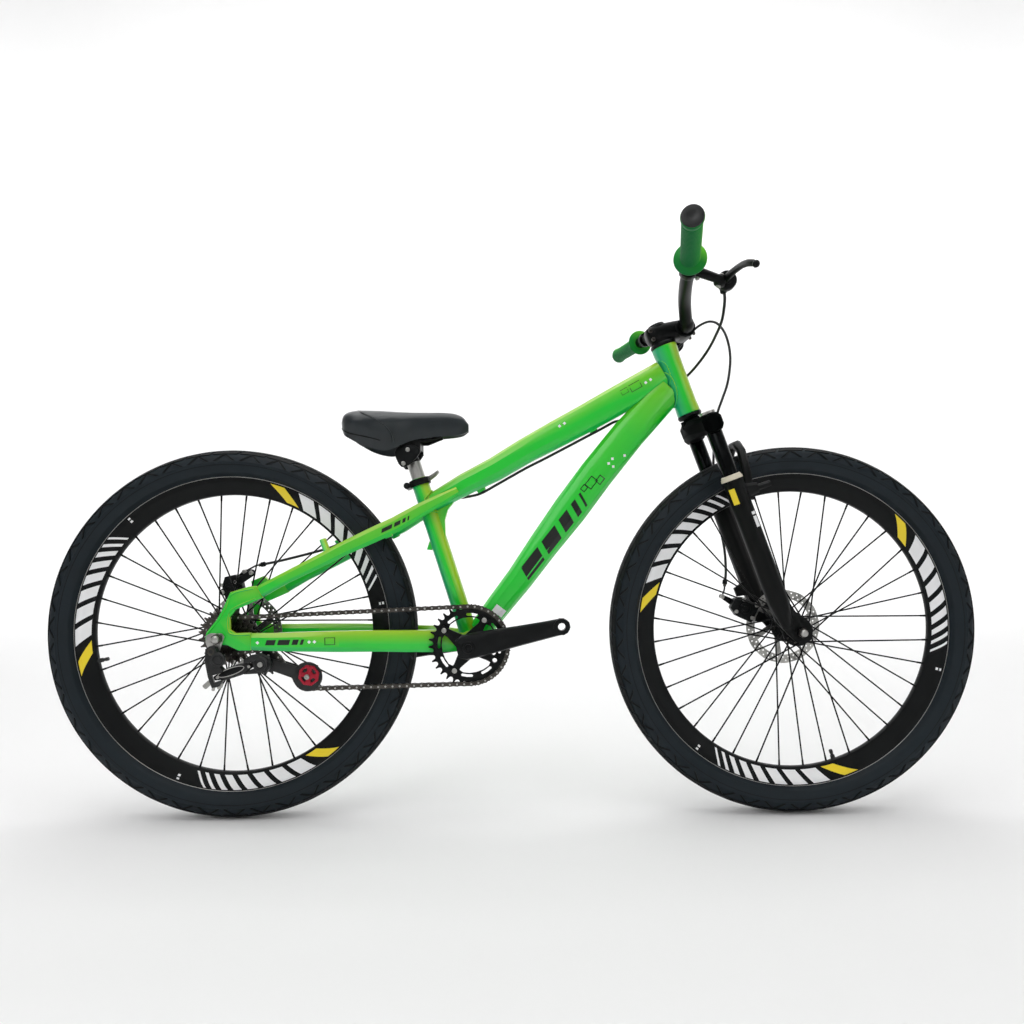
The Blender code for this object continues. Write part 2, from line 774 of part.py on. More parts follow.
def make_hub(name, hub, body, flanges, shell, left_face):
    """Hub shell turned round the axle, with laced spokes that stop just short of the rim."""
    bore = AXLE_RADIUS + 0.0007
    left_flange, right_flange = flanges
    left_end, right_end = shell
    flange_radius = SPOKE_CIRCLE + 0.0055
    profile = [
        (right_end, bore),
        (right_end, 0.0100),
        (right_flange - 0.0025, 0.0150),
        (right_flange - 0.0025, flange_radius),
        (right_flange + 0.0025, flange_radius),
        (right_flange + 0.0025, 0.0150),
        (left_flange - 0.0025, 0.0150),
        (left_flange - 0.0025, flange_radius),
        (left_flange + 0.0025, flange_radius),
        (left_flange + 0.0025, 0.0200),
        (left_face, 0.0200),
        (left_face, 0.0095),
        (left_end, 0.0095),
        (left_end, bore),
    ]
    made = add(name, turned(profile, hub, LEFT, 12, closed=True), "black_anodised", body)
    bm = bmesh.new()
    for number in range(SPOKE_COUNT):
        on_left = number % 2 == 0
        leading = (number // 2) % 2 == 0
        side = 1 if on_left else -1
        flange = left_flange if on_left else right_flange
        rim_angle = 2 * math.pi * (number + 0.5) / SPOKE_COUNT
        swing = 2 * math.pi * 2 * CROSSINGS / (SPOKE_COUNT / 2) / 2 * (1 if leading else -1)
        offset = 0.0014 if leading else -0.0014
        start = hub + Vector(
            (SPOKE_CIRCLE * math.cos(rim_angle + swing), flange + side * offset, SPOKE_CIRCLE * math.sin(
                rim_angle + swing
            ))
        )
        tip = RIM_INNER_RADIUS - GAP
        end_side = side * 0.0034 if leading else 0.0
        end = hub + Vector((tip * math.cos(rim_angle), end_side, tip * math.sin(rim_angle)))
        spoke = rod(start, end, SPOKE_RADIUS, 3)
        mesh = bpy.data.meshes.new("spoke")
        spoke.to_mesh(mesh)
        spoke.free()
        bm.from_mesh(mesh)
        bpy.data.meshes.remove(mesh)
    combine(made, "UNION", [add(name + "_spokes", bm, "black_paint", body)])


def make_rotor(name, hub, body, plane, window_count=6):
    """A braking ring on swept arms."""
    windows = []
    for number in range(window_count):
        base = 2 * math.pi * number / window_count
        inner, outer, sweep = 0.0235, 0.0545, math.radians(22)
        span = 2 * math.pi / window_count
        angles = [
            (inner, base + 0.22),
            (outer, base + sweep + 0.09),
            (outer, base + sweep + span - 0.12),
            (inner, base + span - 0.25),
        ]
        windows.append([(r * math.cos(a), r * math.sin(a)) for r, a in angles])
    bore = circle(0.0103, 10, phase=math.pi / 10)
    place = upright(hub.x, plane, hub.z)
    add(name, plate(circle(ROTOR_RADIUS, 28), [bore, *windows], 0.0018, place), "steel", body)


def make_axle(name, hub, body, half_length, nut_inner, nut_width, radius):
    nut = radius + 0.0045
    profile = [
        (-half_length, radius),
        (-nut_inner - nut_width, radius),
        (-nut_inner - nut_width, nut),
        (-nut_inner, nut),
        (-nut_inner, radius),
        (nut_inner, radius),
        (nut_inner, nut),
        (nut_inner + nut_width, nut),
        (nut_inner + nut_width, radius),
        (half_length, radius),
    ]
    add(name, turned(profile, hub, LEFT, 6), "dark_steel", body)


def make_wheels():
    make_tyre("rear_tyre", REAR_HUB, "rear_wheel")
    make_rim("rear_rim", REAR_HUB, "rear_wheel", math.radians(191))
    make_hub("rear_hub", REAR_HUB, "rear_wheel", (0.030, -0.0215), (0.0670, -0.0290), 0.0488)
    make_rotor("rear_rotor", REAR_HUB, "rear_wheel", 0.0500)
    nut = DROPOUT_INNER + DROPOUT_THICKNESS + 0.0040
    make_axle("rear_axle", REAR_HUB, "frame", nut + 0.0125, nut, 0.008, AXLE_RADIUS)
    make_tyre("front_tyre", FRONT_HUB, "front_wheel")
    make_rim("front_rim", FRONT_HUB, "front_wheel", math.radians(288))
    make_hub("front_hub", FRONT_HUB, "front_wheel", (0.0240, -0.0340), (0.0495, -0.0495), 0.0388)
    make_rotor("front_rotor", FRONT_HUB, "front_wheel", 0.0400)
    make_axle("front_axle", FRONT_HUB, "fork_lowers", 0.0700, 0.0581, 0.0070, 0.0045)


# Drive


def pitch_radius(teeth):
    return CHAIN_PITCH / (2 * math.sin(math.pi / teeth))


class Sprocket:
    """A toothed wheel in the chain's plane. turn is +1 where the chain goes round it clockwise."""

    def __init__(self, centre, teeth, turn):
        self.x, self.z = centre.x, centre.z
        self.teeth, self.turn = teeth, turn
        self.radius = pitch_radius(teeth)
        self.gap_angle = 0.0


def tangent_angles(a, b):
    """Where the chain leaves sprocket a and meets sprocket b, as angles seen from the right."""
    dx, dz = b.x - a.x, b.z - a.z
    distance, heading = math.hypot(dx, dz), math.atan2(dz, dx)
    if a.turn == b.turn:
        lean = math.acos((a.radius - b.radius) / distance)
        return heading + a.turn * lean, heading + a.turn * lean
    lean = math.acos((a.radius + b.radius) / distance)
    return heading + a.turn * lean, heading + a.turn * lean + math.pi


def chain_path(sprockets):
    """Arcs and straight runs round the sprockets, each with its length counted in chain."""
    pieces = []
    count = len(sprockets)
    joins = [tangent_angles(sprockets[i], sprockets[(i + 1) % count]) for i in range(count)]
    for i, wheel in enumerate(sprockets):
        arrive, leave = joins[i - 1][1], joins[i][0]
        sweep = (arrive - leave) * wheel.turn % (2 * math.pi)
        pieces.append(("arc", wheel, arrive, sweep, sweep * wheel.teeth * CHAIN_PITCH / (2 * math.pi)))
        following = sprockets[(i + 1) % count]
        start = on_circle(wheel, leave)
        end = on_circle(following, joins[i][1])
        pieces.append(("line", start, end, 0.0, (end - start).length))
    return pieces


def on_circle(wheel, angle, extra=0.0):
    reach = wheel.radius + extra
    return Vector((wheel.x + reach * math.cos(angle), CHAIN_LINE, wheel.z + reach * math.sin(angle)))


def path_length(sprockets):
    return sum(piece[4] for piece in chain_path(sprockets))


def chain_layout():
    """The four sprockets, with the cage turned until the chain has a whole, even number of links."""
    ring = Sprocket(BRACKET_CENTRE, RING_TEETH, 1)
    cog = Sprocket(REAR_HUB, DRIVEN_TEETH, 1)
    guide = Sprocket(GUIDE_PULLEY_CENTRE, PULLEY_TEETH, -1)

    def with_cage(angle):
        centre = GUIDE_PULLEY_CENTRE + Vector((math.cos(angle), 0, math.sin(angle))) * CAGE_LENGTH
        return [ring, Sprocket(centre, PULLEY_TEETH, 1), guide, cog]

    low, high = math.radians(-40), math.radians(-5)
    wanted = round(path_length(with_cage(math.radians(-16))) / (2 * CHAIN_PITCH)) * 2
    for _ in range(60):
        middle = (low + high) / 2
        if (path_length(with_cage(middle)) - wanted * CHAIN_PITCH) * (
            path_length(with_cage(low)) - wanted * CHAIN_PITCH
        ) > 0:
            low = middle
        else:
            high = middle
    return with_cage((low + high) / 2), wanted


def chain_points(sprockets, links):
    """Roller centres at even steps of chain, each with its outward direction; sets the wheels' phases."""
    pieces = chain_path(sprockets)
    stations = []
    for link in range(links):
        for offset in (-ROLLER_HALF_LENGTH, ROLLER_HALF_LENGTH):
            stations.append((link * CHAIN_PITCH + offset) % (links * CHAIN_PITCH))
    total = sum(piece[4] for piece in pieces)
    placed = [place_on_path(pieces, station % total) for station in stations]
    for link in range(links):
        travelled, found = link * CHAIN_PITCH, None
        for kind, wheel, arrive, sweep, length in pieces:
            if travelled < length:
                found = (kind, wheel, arrive, sweep, length)
                break
            travelled -= length
        if found and found[0] == "arc":
            _, wheel, arrive, sweep, length = found
            wheel.gap_angle = arrive - wheel.turn * sweep * travelled / length
    return placed


def place_on_path(pieces, travelled):
    """A point on the chain's centre line and the direction away from the inside of the loop."""
    for kind, first, second, sweep, length in pieces:
        if travelled <= length:
            break
        travelled -= length
    if kind == "arc":
        angle = second - first.turn * sweep * travelled / length
        outward = Vector((math.cos(angle), 0, math.sin(angle))) * first.turn
        return on_circle(first, angle), outward
    along = (second - first).normalized()
    return first + along * travelled, Vector((-along.z, 0, along.x))


INNER_LINK = (0.00135, 0.00245, 0.0038)
OUTER_LINK = (0.00235, 0.00345, 0.0042)


def make_chain(placed):
    """Inner and outer links in turn: each gap has two side plates, and each roller joins them."""
    bm = bmesh.new()
    corners = []
    for number, (point, outward) in enumerate(placed):
        inner, outer, half_height = OUTER_LINK if ((number + 1) // 2) % 2 else INNER_LINK
        corners.append(
            {
                (side, level): bm.verts.new(
                    point + LEFT * side * (outer if level else inner) + outward * level * half_height
                )
                for side in (1, -1)
                for level in (1, 0, -1)
            }
        )
    count = len(corners)
    for number in range(count):
        here, there = corners[number], corners[(number + 1) % count]
        if number % 2:
            for side in (1, -1):
                section = [(side, 1), (side, -1), (side, 0)]
                for a, b in zip(section, section[1:] + section[:1]):
                    bm.faces.new((here[a], here[b], there[b], there[a]))
            continue
        around = [(1, 1), (1, -1), (-1, -1), (-1, 1)]
        for a, b in zip(around, around[1:] + around[:1]):
            bm.faces.new((here[a], here[b], there[b], there[a]))
        for end in (here, there):
            bm.faces.new([end[key] for key in ((-1, 1), (1, 1), (1, 0), (1, -1), (-1, -1), (-1, 0))])
    add("chain", bm, "dark_steel")


def toothed_outline(wheel):
    """Three points to a tooth: the two corners of the gap that holds a roller, and the tip."""
    points = []
    gap = 0.0030
    root_radius, tip_radius = wheel.radius - 0.0049, wheel.radius + 0.0044
    for number in range(wheel.teeth):
        angle = wheel.gap_angle + 2 * math.pi * number / wheel.teeth
        middle = angle + math.pi / wheel.teeth
        for radius, at in (
            (root_radius, angle - gap / wheel.radius),
            (root_radius, angle + gap / wheel.radius),
            (tip_radius, middle),
        ):
            points.append((radius * math.cos(at), radius * math.sin(at)))
    return points


def cog_outline(teeth):
    """Two points to a tooth, for the cogs that the chain is not on."""
    radius = pitch_radius(teeth)
    points = []
    for number in range(teeth * 2):
        reach = radius + (0.0032 if number % 2 else -0.0042)
        angle = math.pi * number / teeth
        points.append((reach * math.cos(angle), reach * math.sin(angle)))
    return points


BOLT_CIRCLE = 0.052
BOLT_START = math.radians(59)


def make_chainring(wheel):
    """Thirty-four teeth, a slotted web and four bolt tabs."""
    inner = []
    for number in range(4):
        base = BOLT_START + number * math.pi / 2
        for reach, swing in (
            (0.0450, -0.11), (0.0450, 0.11), (0.0500, 0.30), (0.0495, 0.785), (0.0500, 1.27)
        ):
            inner.append((reach * math.cos(base + swing), reach * math.sin(base + swing)))
    slots = []
    for number in range(4):
        for middle in (0.45, math.pi / 2 - 0.45):
            base = BOLT_START + number * math.pi / 2 + middle
            slots.append(
                [
                    (r * math.cos(base + a), r * math.sin(base + a))
                    for r, a in ((0.0520, -0.19), (0.0520, 0.19), (0.0572, 0.19), (0.0572, -0.19))
                ]
            )
    place = upright(BRACKET_CENTRE.x, CHAIN_LINE, BRACKET_CENTRE.z)
    made = plate(toothed_outline(wheel), [inner, *slots], 2 * TOOTH_HALF_THICKNESS, place)
    add("chainring", made, "black_anodised", "crankset")


def make_cranks():
    """Forged arms: the right one carries the spider, the left one the axle."""
    outer = -(abs(CHAIN_LINE) + TOOTH_HALF_THICKNESS + GAP)
    arms = []
    for number in range(4):
        base = BOLT_START + number * math.pi / 2
        for reach, swing in (
            (0.0200, -0.55), (0.0420, -0.16), (0.0580, -0.12), (0.0580, 0.12), (0.0420, 0.16)
        ):
            arms.append((reach * math.cos(base + swing), reach * math.sin(base + swing)))
    place = upright(BRACKET_CENTRE.x, outer - 0.003, BRACKET_CENTRE.z)
    spider = add("spider", slab(arms, 0.006, place), "black_anodised", "crankset")
    for name, side, angle in (("right", -1, CRANK_ANGLE), ("left", 1, CRANK_ANGLE + math.pi)):
        forward = Vector((math.cos(angle), 0, math.sin(angle)))
        upward = Vector((-math.sin(angle), 0, math.cos(angle)))
        stations = (
            (-0.021, 0.0660, 0.0105, 0.0160),
            (-0.008, 0.0660, 0.0125, 0.0222),
            (0.020, 0.0670, 0.0115, 0.0222),
            (0.055, 0.0722, 0.0088, 0.0200),
            (0.090, 0.0772, 0.0078, 0.0176),
            (CRANK_LENGTH - 0.03, 0.0830, 0.0068, 0.0154),
            (CRANK_LENGTH, 0.0850, 0.0066, 0.0143),
            (CRANK_LENGTH + 0.010, 0.0852, 0.0064, 0.0108),
            (CRANK_LENGTH + 0.0145, 0.0852, 0.0060, 0.0050),
        )
        sections = [
            (BRACKET_CENTRE + forward * reach + LEFT * side * out, width, height)
            for reach, out, width, height in stations
        ]
        arm = add("crank_" + name, loft(sections, 10, 3.0, upright=upward), "black_anodised", "crankset")
        eye = BRACKET_CENTRE + forward * CRANK_LENGTH + LEFT * side * 0.085
        collar = rod(eye - LEFT * PEDAL_EYE_HALF, eye + LEFT * PEDAL_EYE_HALF, 0.0145, 12)
        combine(arm, "UNION", [add("pedal_eye_" + name, collar, "black_anodised", "crankset")])
        hole = add(
            "pedal_cut_" + name,
            rod(eye - LEFT * 0.02, eye + LEFT * 0.02, 0.0068, 10),
            "black_anodised",
            "crankset",
        )
        if side < 0:
            boss = rod(BRACKET_CENTRE - LEFT * 0.0372, BRACKET_CENTRE - LEFT * 0.0700, 0.0165, 12)
            combine(arm, "UNION", [spider, add("boss_right", boss, "black_anodised", "crankset")])
            socket = rod(BRACKET_CENTRE, BRACKET_CENTRE - LEFT * 0.0605, 0.0103, 10)
            combine(arm, "DIFFERENCE", [add("axle_cut", socket, "black_anodised", "crankset")])
        else:
            boss = rod(BRACKET_CENTRE + LEFT * 0.0372, BRACKET_CENTRE + LEFT * 0.0700, 0.0165, 12)
            axle = rod(BRACKET_CENTRE - LEFT * 0.0600, BRACKET_CENTRE + LEFT * 0.0600, 0.0098, 10)
            combine(
                arm,
                "UNION",
                [add("boss_left", boss, "black_anodised", "crankset"), add(
                    "axle", axle, "black_anodised", "crankset"
                )],
            )
        combine(arm, "DIFFERENCE", [hole])


def make_cassette(wheel):
    """Seven cogs on one carrier; the chain runs on the middle one."""
    nearest = CHAIN_LINE + COG_TEETH.index(DRIVEN_TEETH) * COG_SPACING
    inner_end = REAR_HUB + LEFT * (nearest + 0.0015)
    outer_end = REAR_HUB + LEFT * (nearest - 6 * COG_SPACING - 0.0020)
    cassette = add("cassette", rod(inner_end, outer_end, 0.0165, 10), "dark_steel", "cassette")
    cogs = []
    for number, teeth in enumerate(COG_TEETH):
        plane = nearest - number * COG_SPACING
        outline = toothed_outline(wheel) if teeth == DRIVEN_TEETH else cog_outline(teeth)
        place = upright(REAR_HUB.x, plane, REAR_HUB.z)
        made = slab(outline, 2 * TOOTH_HALF_THICKNESS, place)
        cogs.append(add("cog_%d" % teeth, made, "dark_steel", "cassette"))
    combine(cassette, "UNION", cogs)
    bore = rod(inner_end + LEFT * 0.01, outer_end - LEFT * 0.01, AXLE_RADIUS + 0.0007, 8)
    combine(cassette, "DIFFERENCE", [add("cassette_bore", bore, "dark_steel", "cassette")])


DERAILLEUR_BODY = (
    (-0.5290, 0.3200),
    (-0.5215, 0.3250),
    (-0.5125, 0.3225),
    (-0.5075, 0.3120),
    (-0.5085, 0.2930),
    (-0.5000, 0.2850),
    (-0.5010, 0.2640),
    (-0.5080, 0.2545),
    (-0.5185, 0.2530),
    (-0.5250, 0.2720),
    (-0.5300, 0.2980),
)
KNUCKLE = (
    (-0.4700, 0.2985),
    (-0.4580, 0.3060),
    (-0.4420, 0.3085),
    (-0.4270, 0.3020),
    (-0.4230, 0.2880),
    (-0.4300, 0.2760),
    (-0.4480, 0.2740),
    (-0.4700, 0.2730),
)


def make_derailleur(guide, tension):
    """Body on the hanger, parallelogram link, knuckle, and a cage with two toothed pulleys."""
    hanger_bolt = REAR_HUB + Vector((-0.0070, 0, -0.0205))
    face = -(DROPOUT_INNER + DROPOUT_THICKNESS + 0.003 + 2 * GAP)
    centre = Vector((hanger_bolt.x, 0, hanger_bolt.z))
    first = bodies["derailleur_link"][1]
    second = bodies["derailleur_knuckle"][1]
    body = add(
        "derailleur_body", slab(DERAILLEUR_BODY, 0.0120, upright(0, face - 0.0060, 0)), "black_plastic"
    )
    pin = add(
        "hanger_pin", rod(centre + LEFT * face, centre + LEFT * (face + 0.0028), 0.0040, 8), "black_plastic"
    )
    combine(body, "UNION", [pin])
    combine(body, "DIFFERENCE", [link_notch("body_notch", first, second, "frame")])
    along = (second - first).normalized()
    run = [
        (first - along * 0.0065, 0.0030, 0.0040),
        (first, 0.0050, 0.0058),
        (first.lerp(second, 0.5), 0.0048, 0.0066),
        (second, 0.0050, 0.0058),
        (second + along * 0.0065, 0.0030, 0.0040),
    ]
    add("derailleur_link", loft(run, 8, 2.6), "black_plastic", "derailleur_link")
    knuckle = add(
        "derailleur_knuckle",
        slab(KNUCKLE, 0.0130, upright(0, second.y, 0)),
        "black_plastic",
        "derailleur_knuckle",
    )
    combine(knuckle, "DIFFERENCE", [link_notch("knuckle_notch", second, first, "derailleur_knuckle")])
    make_cage(guide, tension)


def link_notch(name, pivot, far_pivot, body):
    """The room between two lugs in which the link turns."""
    along = (far_pivot - pivot).normalized()
    run = [(pivot - along * 0.0078, 0.020, 0.0067), (pivot + along * 0.030, 0.020, 0.0067)]
    return add(name, loft(run, 8, 12.0), "black_plastic", body)


def cage_outline(guide, tension, radius, low_radius):
    """A long plate with round ends about the two pulleys' axes."""
    dx, dz = tension.x - guide.x, tension.z - guide.z
    heading = math.atan2(dz, dx)
    points = []
    for centre, reach, start in (
        ((0, 0), radius, heading + math.pi / 2), ((dx, dz), low_radius, heading - math.pi / 2)
    ):
        for step in range(6):
            angle = start + math.pi * step / 5
            points.append((centre[0] + reach * math.cos(angle), centre[1] + reach * math.sin(angle)))
    return points


def make_cage(guide, tension):
    outline = cage_outline(guide, tension, 0.0100, 0.0115)
    plates = []
    for name, plane, thickness in (
        ("cage_outer", CHAIN_LINE - 0.0065, 0.0020), ("cage_inner", CHAIN_LINE + 0.0062, 0.0016)
    ):
        place = upright(guide.x, plane, guide.z)
        plates.append(add(name, plate(outline, [], thickness, place), "black_plastic", "derailleur_cage"))
    outer, inner = plates
    outer.name = "derailleur_cage"
    for wheel in (guide, tension):
        centre = Vector((wheel.x, 0, wheel.z))
        ends = centre + LEFT * (CHAIN_LINE - 0.0070), centre + LEFT * (CHAIN_LINE + 0.0066)
        combine(outer, "UNION", [
            add("pulley_pin_%d" % round(wheel.x * -1000), rod(*ends, 0.0034, 6), "steel", "derailleur_cage")
        ])
    pivot = Vector((guide.x, 0, guide.z))
    stub = rod(pivot + LEFT * (CHAIN_LINE - 0.0065), pivot + LEFT * (CHAIN_LINE - 0.0137), 0.0070, 10)
    combine(outer, "UNION", [inner, add("cage_stub", stub, "black_plastic", "derailleur_cage")])
    for name, wheel in (("guide_pulley", guide), ("tension_pulley", tension)):
        bore = circle(0.0040, 8)
        place = upright(wheel.x, CHAIN_LINE, wheel.z)
        finish_name = "black_plastic" if name == "guide_pulley" else "red_plastic"
        add(name, plate(toothed_outline(wheel), [bore], 2 * TOOTH_HALF_THICKNESS, place), finish_name, name)


# Fork and steering


def leg_axis(side, down, ahead=LEG_OFFSET):
    return fork_point(down, ahead, LEG_SPREAD * side)


def make_crown():
    """Forged crown with the steerer tube pressed in and a socket for each leg."""
    stations = [
        (-0.0850, 0.0120, 0.1010, 0.0110, 0.0150),
        (-0.0790, 0.0120, 0.1010, 0.0185, 0.0178),
        (-0.0520, 0.0115, 0.1005, 0.0200, 0.0180),
        (-0.0230, 0.0010, 0.0960, 0.0220, 0.0190),
    ]
    stations += [(-y, *rest) for y, *rest in reversed(stations)]
    sections = [
        (fork_point(down, ahead, y), half_depth, half_height)
        for y, ahead, down, half_depth, half_height in stations
    ]
    crown = add("fork_crown", loft(sections, 10, 2.8, upright=DOWN_FORK), "black_paint", "steering")
    steerer = [
        (-0.100, 0),
        (-0.100, STEERER_RADIUS),
        (0.0765, STEERER_RADIUS),
        (0.0765, 0.0205),
        (0.090, 0.0205),
        (0.090, 0),
    ]
    tube = add("steerer", turned(steerer, HEAD_MIDDLE, DOWN_FORK, 12), "black_paint", "steering")
    combine(crown, "UNION", [tube])
    for side in (1, -1):
        bore = rod(
            leg_axis(side, CROWN_TOP + 0.006),
            leg_axis(side, CROWN_BOTTOM + 0.02),
            STANCHION_RADIUS + GAP,
            12,
        )
        combine(crown, "DIFFERENCE", [add("leg_bore_%d" % side, bore, "black_paint", "steering")])
    for name, side in (("left", 1), ("right", -1)):
        leg = rod(leg_axis(side, CROWN_TOP + 0.0063), leg_axis(side, STANCHION_END), STANCHION_RADIUS, 12)
        add("stanchion_" + name, leg, "black_anodised", "steering")
        seal = [
            (LOWER_TOP - 0.010, STANCHION_RADIUS + 0.0008),
            (LOWER_TOP - 0.010, LOWER_RADIUS - 0.0012),
            (LOWER_TOP - GAP, LOWER_RADIUS + 0.0010),
            (LOWER_TOP - GAP, STANCHION_RADIUS + 0.0008),
        ]
        centre = leg_axis(side, 0)
        add(
            "seal_" + name, turned(seal, centre, DOWN_FORK, 12, closed=True), "cream_plastic", "fork_lowers"
        )


def make_lowers():
    """Cast legs joined by the arch over the tyre, with axle lobes, brake posts and a caliper mount."""
    profile = [(LOWER_TOP, LOWER_RADIUS), (0.435, LOWER_RADIUS), (0.482, 0.0100)]
    legs = []
    for side in (1, -1):
        leg = turned(profile, leg_axis(side, 0), DOWN_FORK, 12)
        legs.append(add("leg_%d" % side, leg, "black_paint", "fork_lowers"))
    lowers = legs[0]
    lowers.name = "fork_lowers"
    arch_half = [
        (0.250, 0.0280, 0.0610, 0.0060, 0.0100),
        (0.205, 0.0440, 0.0530, 0.0062, 0.0085),
        (0.165, 0.0545, 0.0350, 0.0065, 0.0080),
        (0.150, 0.0580, 0.0130, 0.0070, 0.0085),
    ]
    arch_run = [(fork_point(s, p, y), w, h) for s, p, y, w, h in arch_half]
    arch_run += [(fork_point(s, p, -y), w, h) for s, p, y, w, h in reversed(arch_half)]
    arch = add("arch", loft(arch_run, 8, 2.6, upright=AHEAD_FORK), "black_paint", "fork_lowers")
    combine(lowers, "UNION", [arch, legs[1]])
    for side in (1, -1):
        make_leg_details(lowers, side)
    bore_end = STANCHION_END + FORK_TRAVEL + 0.004
    for side in (1, -1):
        bore = rod(
            leg_axis(side, LOWER_TOP - 0.02), leg_axis(side, bore_end), STANCHION_RADIUS + 0.0009, 12
        )
        combine(lowers, "DIFFERENCE", [add("stanchion_bore_%d" % side, bore, "black_paint", "fork_lowers")])


def make_leg_details(lowers, side):
    lobe = [
        (0.428, -0.0040),
        (0.428, 0.0280),
        (0.465, 0.0370),
        (0.486, 0.0505),
        (0.505, 0.0550),
        (0.521, 0.0480),
        (0.525, 0.0350),
        (0.519, 0.0210),
        (0.500, 0.0110),
        (0.470, -0.0010),
    ]
    outline = []
    for down, ahead in lobe:
        point = fork_point(down, ahead) - FRONT_HUB
        outline.append((point.x, point.z))
    place = upright(FRONT_HUB.x, side * 0.05405, FRONT_HUB.z)
    hole = circle(0.0050, 12, phase=math.pi / 12)
    parts = [add("lobe_%d" % side, plate(outline, [hole], 0.0075, place), "black_paint", "fork_lowers")]
    foot = fork_point(0.235, 0.026, 0.060 * side)
    tip = fork_point(0.236, 0.0745, 0.060 * side)
    parts.append(add("fork_post_%d" % side, rod(foot, tip, 0.0060, 8), "black_paint", "fork_lowers"))
    boss_foot = fork_point(0.232, 0.015, 0.062 * side)
    boss_tip = fork_point(0.235, 0.050, 0.060 * side)
    boss = loft([(boss_foot, 0.014, 0.016), (boss_tip, 0.009, 0.010)], 8, 2.6, upright=DOWN_FORK)
    parts.append(add("fork_boss_%d" % side, boss, "black_paint", "fork_lowers"))
    if side > 0:
        upper_tab = ((0.398, 0.004), (0.406, -0.0235), (0.4225, -0.0235), (0.428, 0.004))
        lower_tab = ((0.456, 0.004), (0.462, -0.018), (0.476, -0.019), (0.484, 0.004))
        for number, tab in enumerate((upper_tab, lower_tab)):
            corners = [fork_point(down, ahead) - FRONT_HUB for down, ahead in tab]
            place = upright(FRONT_HUB.x, 0.0537, FRONT_HUB.z)
            bm = slab([(corner.x, corner.z) for corner in corners], 0.0068, place)
            parts.append(add("caliper_tab_%d" % number, bm, "black_paint", "fork_lowers"))
    combine(lowers, "UNION", parts)


def make_stem():
    """Stem clamped round the steerer, its arm, and the round clamp for the bar."""
    top = -0.108
    bottom = -(HEAD_TUBE_HALF_LENGTH + HEADSET_HEIGHT + GAP)
    column = turned([(top, 0.0130), (top + 0.003, 0.0185), (bottom, 0.0190)], HEAD_MIDDLE, DOWN_FORK, 14)
    stem = add("stem", column, "black_paint", "steering")
    bar_centre = Vector(BAR_RUN[0])
    arm_start = fork_point((top + bottom) / 2, 0.004)
    arm_middle = fork_point(-0.0885, 0.022)
    arm = loft(
        [(arm_start, 0.0165, 0.0125), (arm_middle, 0.0165, 0.0125), (bar_centre, 0.0195, 0.0150)], 10, 3.0
    )
    sleeve = rod(bar_centre - LEFT * 0.0215, bar_centre + LEFT * 0.0215, 0.0180, 14)
    combine(stem, "UNION", [add("stem_arm", arm, "black_paint", "steering"), add(
        "stem_sleeve", sleeve, "black_paint", "steering"
    )])
    bar_cut = rod(bar_centre - LEFT * 0.03, bar_centre + LEFT * 0.03, CLAMP_RADIUS + GAP, 12)
    steerer_cut = rod(fork_point(-0.1005, 0), fork_point(0, 0), STEERER_RADIUS + GAP, 12)
    combine(
        stem,
        "DIFFERENCE",
        [add("bar_cut", bar_cut, "black_paint", "steering"), add(
            "steerer_cut", steerer_cut, "black_paint", "steering"
        )],
    )


def make_bar():
    right = [mirrored(point, -1) for point in reversed(BAR_RUN[1:])]
    left = [Vector(point) for point in BAR_RUN[1:]]
    run = right + left
    sections = []
    for point in run:
        radius = CLAMP_RADIUS if abs(point.y) < 0.04 else BAR_RADIUS
        sections.append((point, radius, radius))
    add("handlebar", loft(sections, 12), "black_paint", "steering")
    for name, side in (("left", 1), ("right", -1)):
        inner, outer = mirrored(BAR_RUN[-2], side), mirrored(BAR_RUN[-1], side)
        along = (outer - inner).normalized()
        reach = (outer - inner).length
        bore = BAR_RADIUS + GAP
        profile = [
            (0.008, bore),
            (0.008, 0.0256),
            (0.0115, 0.0256),
            (0.0145, 0.0158),
            (reach - 0.010, 0.0150),
            (reach + 0.002, 0.0168),
            (reach + 0.006, 0.0145),
            (reach + 0.006, 0),
            (reach + GAP, 0),
            (reach + GAP, bore),
        ]
        add("grip_" + name, turned(profile, inner, along, 12, closed=True), "green_rubber", "steering")


LEVER_CLAMP = 0.198
ADJUSTER_END = (0.3400, 0.1830, 0.9030)
LEVER_PIVOT = (0.3385, 0.2060, 0.9105)


